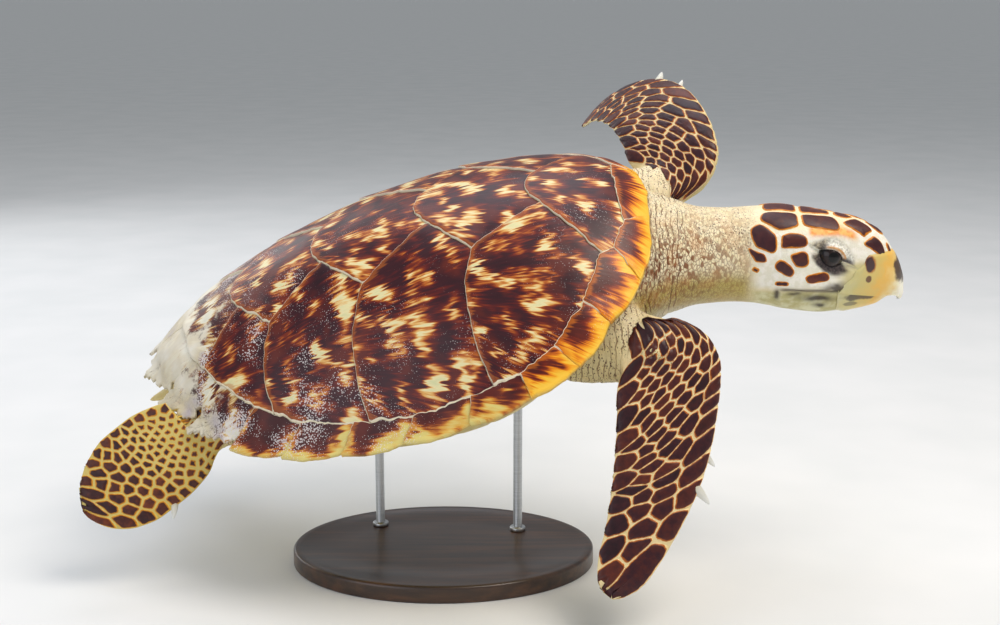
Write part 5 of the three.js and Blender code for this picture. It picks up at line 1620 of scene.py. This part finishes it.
# Outlines of a field of scales on an unrolled skin, as distances from each middle: half way to
# the neighbours, weighted by size, less half a seam, and never past the scale's own rounded
# rectangle; a power mean with a negative power joins the limits and rounds the corners
def scaleOutlines(middles, sizes, caps, seam, angles, ghosts, ghostSizes):
    theta = np.arange(angles) / angles * 2 * np.pi
    away = np.concatenate([middles, ghosts])[None] - middles[:, None]
    far = np.linalg.norm(away, axis=-1) + np.eye(len(middles), away.shape[1]) * 1e6
    half = (far**2 + sizes[:, None] ** 2 - np.concatenate([sizes, ghostSizes])[None] ** 2) / (2 * far)
    half = np.maximum(half - seam[:, None], 0.4)
    toward = (away / far[..., None]) @ np.stack([np.cos(theta), np.sin(theta)])
    limit = (np.maximum(toward, 0) / half[..., None]) ** scaleShape["corner"]
    limit = np.where(far[..., None] < 70, limit, 0).sum(1)
    own = theta[None] - caps[:, 2:3]
    capped = (np.abs(np.cos(own) / caps[:, :1]) ** 3 + np.abs(np.sin(own) / caps[:, 1:2]) ** 3) ** (-1 / 3)
    reach = (limit + capped ** -scaleShape["corner"]) ** (-1 / scaleShape["corner"])
    jitter = np.stack([np.cos(theta)[None] + middles[:, :1], np.sin(theta)[None] + middles[:, 1:], 0 * reach],
        -1)
    return theta, reach * (1 + 0.035 * noise(jitter * 1.3, 1.0, 51))


# The scales' points on the unrolled skin, their heights, distances from the edge, and faces
def scaleField(middles, sizes, caps, seam, angles=None, ghosts=np.zeros((0, 2)), ghostSizes=np.zeros(0)):
    angles = angles or scaleShape["angles"]
    theta, reach = scaleOutlines(middles, sizes, caps, seam, angles, ghosts, ghostSizes)
    ring = scaleRings[None, :, None]
    flat = middles[:, None, None] + (ring * reach[:, None])[...,
        None] * np.stack([np.cos(theta), np.sin(theta)], -1)
    edge = (1 - ring) * reach[:, None] * 0.92
    dish = np.clip(reach[:, None] / 9, 0.5, 1.3)
    height = -0.15 + (scaleShape["height"] * (1 - np.exp(-edge / scaleShape["rise"]))
        + 0.25 * (1 - ring**2)) * dish
    height[:, 0] = scaleShape["root"]
    count, rings = len(middles), len(scaleRings)
    hubFlat = np.repeat(middles[:, None], 2, axis=1)
    hubEdge = np.stack([reach.mean(1) * 0.9, reach.mean(1) * 0], -1)
    hubHeight = np.stack([height[:, -1].mean(1) + 0.05, np.full(count, scaleShape["root"])], -1)
    per = rings * angles + 2
    flat = np.concatenate([flat.reshape(count, -1, 2), hubFlat], axis=1)
    edge = np.concatenate([edge.reshape(count, -1), hubEdge], axis=1)
    height = np.concatenate([height.reshape(count, -1), hubHeight], axis=1)
    r, c = np.meshgrid(np.arange(rings - 1), np.arange(angles), indexing="ij")
    a, b = (r * angles + c).ravel(), (r * angles + (c + 1) % angles).ravel()
    quads = np.stack([a, b, b + angles, a + angles], -1)
    c = np.arange(angles)
    top = (rings - 1) * angles
    lid = np.stack([top + c, top + (c + 1) % angles, np.full(angles, per - 2)], -1)
    foot = np.stack([(c + 1) % angles, c, np.full(angles, per - 1)], -1)
    shift = (np.arange(count) * per)[:, None, None]
    faces = [(f[None] + shift).reshape(-1, f.shape[1]) for f in (quads, lid, foot)]
    return flat, height, edge, faces


def onSkin(points):  # the nearest places on the skin
    mesh = bpy.data.meshes.new("probe")
    mesh.vertices.add(len(points))
    mesh.vertices.foreach_set("co", ((points + origin) / 1000).astype(np.float32).ravel())
    probe = bpy.data.objects.new("probe", mesh)
    bpy.context.scene.collection.objects.link(probe)
    wrap = probe.modifiers.new("wrap", "SHRINKWRAP")
    wrap.wrap_method = "NEAREST_SURFACEPOINT"
    wrap.target = skin
    wrapped = probe.evaluated_get(bpy.context.evaluated_depsgraph_get()).to_mesh()
    found = np.empty(len(points) * 3, np.float32)
    wrapped.vertices.foreach_get("co", found)
    bpy.data.objects.remove(probe)
    return found.reshape(-1, 3).astype(float) * 1000 - origin


# Builds one coat piece. surface(u, v) gives points in space for places on the unrolled skin;
# OFBake lays each scale at its own place and size on that unrolled skin, and its foot, which
# never shows, in a small copy of the map in the corner
def scalePiece(name, surface, field, unroll, tags, material, slot, outward):
    flat, height, edge, faces = field
    u, v = unroll(flat[..., 0], flat[..., 1])
    base = surface(u, v)
    step = 0.5
    normal = unit(np.cross(surface(u + step, v) - surface(u - step, v),
        surface(u, v + step) - surface(u, v - step)))
    normal = normal * outward
    found = onSkin(base.reshape(-1, 3)).reshape(base.shape)
    # a scale whose place has been swallowed by a joint of the skin is left out
    kept = np.linalg.norm(found - base, axis=-1).max(1) < 9
    found, normal, height, edge, tags, u, v = (a[kept] for a in (found, normal, height, edge, tags, u, v))
    faces = [f[: len(f) // len(flat) * kept.sum()] for f in faces]
    flat = flat[kept]
    points = (found + normal * height[..., None]).reshape(-1, 3)
    a, b, c = (points[faces[1][:, k]] for k in range(3))
    facing = np.einsum("ij,ij->i", np.cross(b - a, c - a), normal.reshape(-1, 3)[faces[1][:, 0]])
    turnRound = np.median(facing.reshape(len(flat), -1), axis=1) < 0
    ready = []
    for f in faces:
        each = f.reshape(len(flat), -1, f.shape[1])
        ready.append(np.where(turnRound[:, None, None], each[..., ::-1], each).reshape(-1, f.shape[1]))
    piece = buildMesh(name, points, ready, material)
    count = flat.shape[1]
    setAttribute(piece, "plate", np.stack([edge.ravel(), np.repeat(tags[:, 0], count),
        np.repeat(tags[:, 1], count)], -1))
    setAttribute(piece, "zone", np.stack([np.repeat(tags[:, 2], count), u.ravel(), v.ravel()], -1))
    loops = np.empty(len(piece.data.loops), np.int32)
    piece.data.loops.foreach_get("vertex_index", loops)
    width = max(np.ptp(u), np.ptp(v)) * 1.06
    place2 = (np.stack([u.ravel(), v.ravel()], -1) - [u.min(), v.min()]) / width + 0.02
    footLoop = np.repeat([False, False, True], [f.size for f in ready])
    laid = np.where(footLoop[:, None], 0.8 + 0.18 * place2[loops], place2[loops])
    bake = piece.data.uv_layers.new(name="OFBake")
    bake.data.foreach_set("uv", laid.astype(np.float32).ravel())
    place(piece, slot)
    print(name, len(flat), "scales,", sum(len(f) * (f.shape[1] - 2) for f in ready), "triangles")
    return piece


scaleLooks = {
    "flipperFront": {"dark": "#210a12", "middle": "#331119", "warm": "#461a16", "rim": "#b8620f",
    "edge": "#ecd39a", "rimWidth": 1.0, "leadRim": 2.4, "below": "#d9c98e"},
    "flipperRear": {"dark": "#200c10", "middle": "#341315", "warm": "#5c2812", "rim": "#c98212",
    "edge": "#dcb950", "rimWidth": 1.2, "leadRim": 1.4, "below": "#d9c98e"},
    "head": {"dark": "#2a121c", "middle": "#3b1a22", "warm": "#4c2420", "rim": "#d07a10", "edge": "#f0d48c",
    "rimWidth": 1.5, "leadRim": 0.0, "below": "#d9c98e"},
}


# Horn of a scale: satin keratin, IOR 1.55, almost black in the middle, clear amber at the rim;
# fine pits 0.5 mm apart and clouds 6 mm across
def scaleHorn(name, looks):
    material, add = newMaterial(name)
    body = add("TexCoord", out="Object")
    plate = add("SeparateXYZ", add("Attribute", attribute_name="plate", out="Vector"), out=None)
    zone = add("SeparateXYZ", add("Attribute", attribute_name="zone", out="Vector"), out=None)
    edge, seed, warmth = (plate[k] for k in range(3))
    belowSide = zone[0]
    # the horn over the leading edge is worn clear, 2 to 3 mm wide
    fromLead = add("Math ABSOLUTE", zone[2])
    atLead = add("MapRange", fromLead, 8.0, 1.0, 0.0, looks["leadRim"])
    cloud = add("TexNoise", {"Vector": body, "Scale": 150.0, "Detail": 3.0}, out="Fac")
    fine = add("TexNoise", {"Vector": body, "Scale": 900.0, "Detail": 3.0}, out="Fac")
    tone = add("Math MULTIPLY_ADD", seed, 0.45, cloud)
    colour = add("ValToRGB", tone, stops=[ (0.35, looks["dark"]), (0.75, looks["middle"]),
        (1.05, looks["warm"])])
    warm = add("Math MULTIPLY", warmth, cloud)
    colour = add("MixRGB", warm, colour, "#8a3c12")
    wobble = add("Math MULTIPLY_ADD", cloud, 2.4, edge)
    wobble = add("Math ADD", wobble, -1.2)
    wobble = add("Math SUBTRACT", wobble, atLead)
    inRim = add("MapRange SMOOTHSTEP", wobble, looks["rimWidth"] + 0.7, looks["rimWidth"] - 0.5)
    inEdge = add("MapRange SMOOTHSTEP", wobble, 0.6, 0.1)
    colour = add("MixRGB", inRim, colour, looks["rim"])
    colour = add("MixRGB", inEdge, colour, looks["edge"])
    # below the flippers only the middles of some scales are dark
    blotch = add("MapRange", add("Math MULTIPLY", seed, wobble), 1.6, 2.4)
    paleSide = add("MixRGB", blotch, looks["below"], "#4a2a20")
    colour = add("MixRGB", belowSide, colour, paleSide)
    relief = add("Math MULTIPLY_ADD", cloud, 1.5, fine)
    bump = add("Bump", {"Height": relief, "Strength": 0.35, "Distance": 0.0004})
    rough = add("Math MULTIPLY_ADD", fine, 0.2, 0.3)
    shader = add("BsdfPrincipled", {"Base Color": colour, "Roughness": rough, "IOR": 1.55,
        "Specular IOR Level": 0.3, "Normal": bump})
    add("OutputMaterial", shader)
    return material


# A paddle unrolled: p along it, s round it from the leading edge, + above and - below.
# Tables every millimetre give the girth and the turn at each share of it
def unrolled(limb):
    start, end = limb["paddle"][0, 0], limb["paddle"][-1, 0] - 0.05
    rows = np.linspace(start, end, 300)
    turn = np.linspace(0, np.pi, 241)
    across = paddleSurface(limb, *np.meshgrid(rows, turn, indexing="ij"))
    arc = np.cumsum(np.linalg.norm(np.diff(across, axis=1), axis=-1), axis=1)
    arc = np.concatenate([np.zeros((len(rows), 1)), arc], axis=1)
    share = np.linspace(0, 1, 241)
    inverse = np.array([np.interp(share, a / a[-1], turn) for a in arc])

    def girth(p):
        return np.interp(p, rows, arc[:, -1])

    def surface(p, s):
        p = np.clip(p, start, end)
        f = np.clip(np.abs(s) / girth(p), 0, 1)
        i = np.clip((p - start) / (end - start) * (len(rows) - 1), 0, len(rows) - 1.001)
        k = np.clip(f * 240, 0, 239.999)
        i0, k0 = i.astype(int), k.astype(int)
        di, dk = i - i0, k - k0
        t = (inverse[i0, k0] * (1 - di) * (1 - dk) + inverse[i0 + 1, k0] * di * (1 - dk)
             + inverse[i0, k0 + 1] * (1 - di) * dk + inverse[i0 + 1, k0 + 1] * di * dk)
        return paddleSurface(limb, p, t * np.where(s < 0, -1, 1) * limb["dorsal"])

    return girth, surface


paddleScales = {
    "front": {
        "look": "flipperFront", "from": -6, "lead": [10, 10, 11, 14, 18, 16, 20, 22, 21, 20, 17, 34, 30],
        "leadWidth": ((0, 13), (40, 20), (90, 31), (140, 26), (200, 21), (290, 19)), "trail": (17, 22),
        "sizes": ((0, 12.5), (60, 14), (120, 16), (180, 20), (260, 24)), "seam": ((0, 0.25), (290, 0.35)),
        "slant": 1.0, "slantTo": (90, 230), "run": ((-120, -126), (90, 94), (180, 172), (330, 266)),
    },
    "rear": {
        "look": "flipperRear", "from": -12, "lead": [9, 9, 10, 11, 12, 13, 14, 16, 18, 18, 14],
        "leadWidth": ((-12, 9), (60, 15), (140, 15)), "trail": (10, 14),
        "sizes": ((-20, 8), (30, 10), (80, 14), (145, 17)), "seam": ((-20, 1.5), (50, 1.0), (90, 0.6)),
        "slant": 0.25, "slantTo": (20, 110), "run": ((-120, -120), (330, 330)),
    },
}


# Near the body the scales lie aslant and towards the tip they are long: a warped map,
# warp = run(p) - slant times its fading share of (s - 20), in which they are round
def warped(style, p, s):
    away, run = np.array(style["run"], float).T
    return np.interp(p, away, run) - style["slant"] * (1 - ease(*style["slantTo"], p)) * (np.abs(s) - 20)


def unwarped(style, warp, s):  # found by halving
    low, high = np.full(np.shape(warp), -119.0), np.full(np.shape(warp), 329.0)
    for _ in range(30):
        middle = (low + high) / 2
        over = warped(style, middle, s) > warp
        low, high = np.where(over, low, middle), np.where(over, middle, high)
    return (low + high) / 2


def valueAt(pairs, value):
    return np.interp(value, *np.array(pairs, float).T)


# Scales of one side: a leading row, a trailing row and a field between them, all settled into
# place by moving each to the middle of its own share of the side. Ghosts mirrored over the
# paddle's edges keep every outline inside them
def settled(style, girth, last, random):
    marks = warped(style, np.array(float(style["from"])), np.array(8.0)) + np.cumsum([0] + style["lead"])
    run = (marks[1:] + marks[:-1]) / 2
    p = unwarped(style, run, run * 0 + 8)
    keep = p < last
    lead = np.stack([run, np.minimum(valueAt(style["leadWidth"], p), girth(p) * 0.45) / 2], -1)[keep]
    leadSize = (np.diff(marks) / 2)[keep]
    trailP = np.arange(style["from"] + 8, last - 6, style["trail"][1]) + 0.0
    trailP = (trailP + random.uniform(-2, 2, len(trailP)))[girth(trailP) > 34]
    trailS = girth(trailP) - style["trail"][0] / 2
    trail = np.stack([warped(style, trailP, trailS), trailS], -1)
    begin, finish = warped(style, np.array(style["from"] - 10.0), np.array(110.0)), warped(style,
        np.array(last), np.array(0.0)) + 8
    spots, row, here = [], 0, float(begin)
    while here < finish:
        size = valueAt(style["sizes"], here)
        spots.append(np.stack([np.full(16, here), (np.arange(16) + 0.5 * (row % 2)) * size], -1)
            + random.uniform(-1, 1, (16, 2)) * size * 0.28)
        here += size * 0.86
        row += 1
    field = np.concatenate(spots)
    p = unwarped(style, field[:, 0], field[:, 1])
    size = valueAt(style["sizes"], field[:, 0])
    keep = (field[:, 1] > np.minimum(valueAt(style["leadWidth"], p), girth(p) * 0.45)
        + size * 0.3) & (p > style["from"]) & (p < last)
    field, size = (field[keep], size[keep])
    keep = field[:, 1] < girth(unwarped(style, field[:, 0], field[:, 1])) - style["trail"][0] - size * 0.3
    middles = np.concatenate([lead, trail, field[keep]])
    sizes = np.concatenate([leadSize, np.full(len(trail), style["trail"][1] / 2), size[keep] / 2])
    grid = np.stack(np.meshgrid(np.arange(begin, finish, 1.6), np.arange(0.8, 120, 1.6), indexing="ij"),
        -1).reshape(-1, 2)
    p = unwarped(style, grid[:, 0], grid[:, 1])
    grid = grid[(p > style["from"] - 3) & (p < last + 2) & (grid[:, 1] < girth(p))]
    for _ in range(5):
        near = (((grid[:, None] - middles[None]) ** 2).sum(-1) - sizes**2).argmin(1)
        number = np.maximum(np.bincount(near, minlength=len(middles)), 1)
        mean = np.stack([np.bincount(near, grid[:, k], len(middles)) / number for k in (0, 1)], -1)
        middles = np.where((number > 4)[:, None], 0.35 * middles + 0.65 * mean, middles)
    rim = girth(unwarped(style, middles[:, 0], middles[:, 1]))
    ahead, behind = middles[:, 1] < 34, rim - middles[:, 1] < 30
    ghosts = np.concatenate([middles[ahead] * [1, -1], np.stack([middles[:, 0], 2 * rim - middles[:, 1]],
        -1)[behind]])
    return middles, sizes, ghosts, np.concatenate([sizes[ahead], sizes[behind]])


def paddleCoat(name, limb, style, seed):
    girth, surface = unrolled(limb)
    random = np.random.default_rng(seed)
    last = limb["paddle"][-1, 0] - 4
    found = [settled(style, girth, last, random) for _ in (1, -1)]
    side = np.repeat([1, -1], [len(f[0]) for f in found])
    ghostSide = np.repeat([1, -1], [len(f[2]) for f in found])
    middles, sizes, ghosts, ghostSizes = (np.concatenate(v) for v in zip(*found))
    # the far side lies 1000 mm off while the outlines are found
    seam = valueAt(style["seam"], middles[:, 0])
    far = np.stack([0 * side, np.where(side > 0, 0, 1000)], -1)
    ghosts = ghosts + np.stack([0 * ghostSide, np.where(ghostSide > 0, 0, 1000)], -1)
    caps = np.stack([sizes * 1.9, sizes * 1.9, 0 * sizes], -1)
    flat, *rest = scaleField(middles + far, sizes, caps, seam, None, ghosts, ghostSizes)
    flat = flat - far[:, None]

    def unroll(w, s):
        return unwarped(style, w, s), s * np.where(side > 0, 1, -1)[:, None]

    p = unwarped(style, middles[:, 0], middles[:, 1])
    root = 1 - ease(style["from"] + 5, style["from"] + 60, p)
    warm = random.uniform(0, 1,
        len(p)) ** 3 * 0.5 + (style["look"] == "flipperRear") * 0.5 * root * random.uniform(0, 1, len(p))
    tags = np.stack([random.uniform(0, 1, len(p)), warm, side < 0], -1).astype(float)
    return scalePiece(name, surface, [flat, *rest], unroll, tags, coatMaterials[style["look"]],
        "flipper_skin", -limb["dorsal"])


coatMaterials = {}
for key, looks in scaleLooks.items():
    coatMaterials[key] = scaleHorn("scale_" + key, looks)
for i, (limbName, limb) in enumerate(limbs.items()):
    paddleCoat("coat_" + limbName[8:], limb, paddleScales["front" if "front" in limbName else "rear"], 40 + i)


# The head unrolled: x from the nape, s round it from the crown, + to the right
headRows = np.linspace(-30, 154, 185)
headTurns = np.linspace(90, -90, 181)
sections = headSurface(*np.meshgrid(np.maximum(headRows, 0), headTurns, indexing="ij"), proud=-coatDepth)
headArc = np.concatenate([np.zeros((185, 1)), np.cumsum(np.linalg.norm(np.diff(sections, axis=1), axis=-1),
    axis=1)], axis=1)


def headArcAt(x, degrees):
    return np.array([np.interp(90 - d, 90 - headTurns, headArc[int(np.clip(round(a + 30), 0, 184))]) for a,
        d in zip(x, degrees)])


def headPoint(x, s):
    i = np.clip(x + 30, 0, 183.999)
    i0 = i.astype(int)
    girth = headArc[i0, -1] * (1 - i + i0) + headArc[i0 + 1, -1] * (i - i0)
    shares = headArc / headArc[:, -1:]
    f = np.clip(np.abs(s) / girth, 0, 1)
    table = np.array([np.interp(np.linspace(0, 1, 181), row, headTurns) for row in shares])
    k = np.clip(f * 180, 0, 179.999)
    k0 = k.astype(int)
    dk = k - k0
    turn = table[i0, k0] * (1 - dk) + table[i0, k0 + 1] * dk
    at = headSurface(np.maximum(x, 0), turn, -coatDepth)
    at[..., 0] = x
    return fromHead(at * np.stack([0 * s + 1, np.where(s < 0, -1, 1), 0 * s + 1], -1))


headScales = [ # x, turn from the side (0) to the crown (90), half length, half width, slant in degrees
    (107, 66, 22, 9.6, -14, "pair"), (65, 65, 24, 11, 0, "pair"), (26, 60, 21, 13.5, 0, "pair"),
    (10, 31, 12, 18.5, 24, "pair"), (37, 31, 16.5, 8.4, 6, "pair"), (46, 11, 10, 9, 8, "pair"),
    (3, 13, 6, 14, 32, "pair"),
    (31, 1, 11, 6.8, -32, "pair"), (65, -4, 13, 5.2, 22, "pair"), (29, -14, 7.4, 3, 0, "pair"),
    (121, 41, 16, 8.2, 8, "pair"),
    (140, 52, 5.4, 4.6, 0, "pair"), (2, -2, 4.4, 3, -30, "pair"),
    (92, 90, 13, 8, 0, "middle"), (60, 90, 19, 13, 0, "middle"), (26, 90, 18, 17, 0, "middle"),
    (121, 90, 12, 7, 0, "middle"),
]
table = np.array([row[:5] for row in headScales], float)
paired = np.array([row[5] == "pair" for row in headScales])
arcs = np.where(paired, headArcAt(table[:, 0], table[:, 1]), 0)
middles = np.concatenate([np.stack([table[:, 0], arcs], -1), np.stack([table[:, 0], -arcs], -1)[paired]])
caps = np.concatenate([table[:, 2:5], (table[:, 2:5] * [1, 1, -1])[paired]])
caps[:, 2] = np.radians(-caps[:, 2])
sizes = np.sqrt(caps[:, 0] * caps[:, 1])
random = np.random.default_rng(7)
field = scaleField(middles, sizes, caps, np.full(len(middles), 1.2), 44)
tags = np.stack([random.uniform(0, 1, len(middles)), random.uniform(0, 0.5, len(middles)), 0 * sizes], -1)
scalePiece("coat_head", headPoint, field, lambda u, v: (u, v), tags, coatMaterials["head"], "skin", -1)
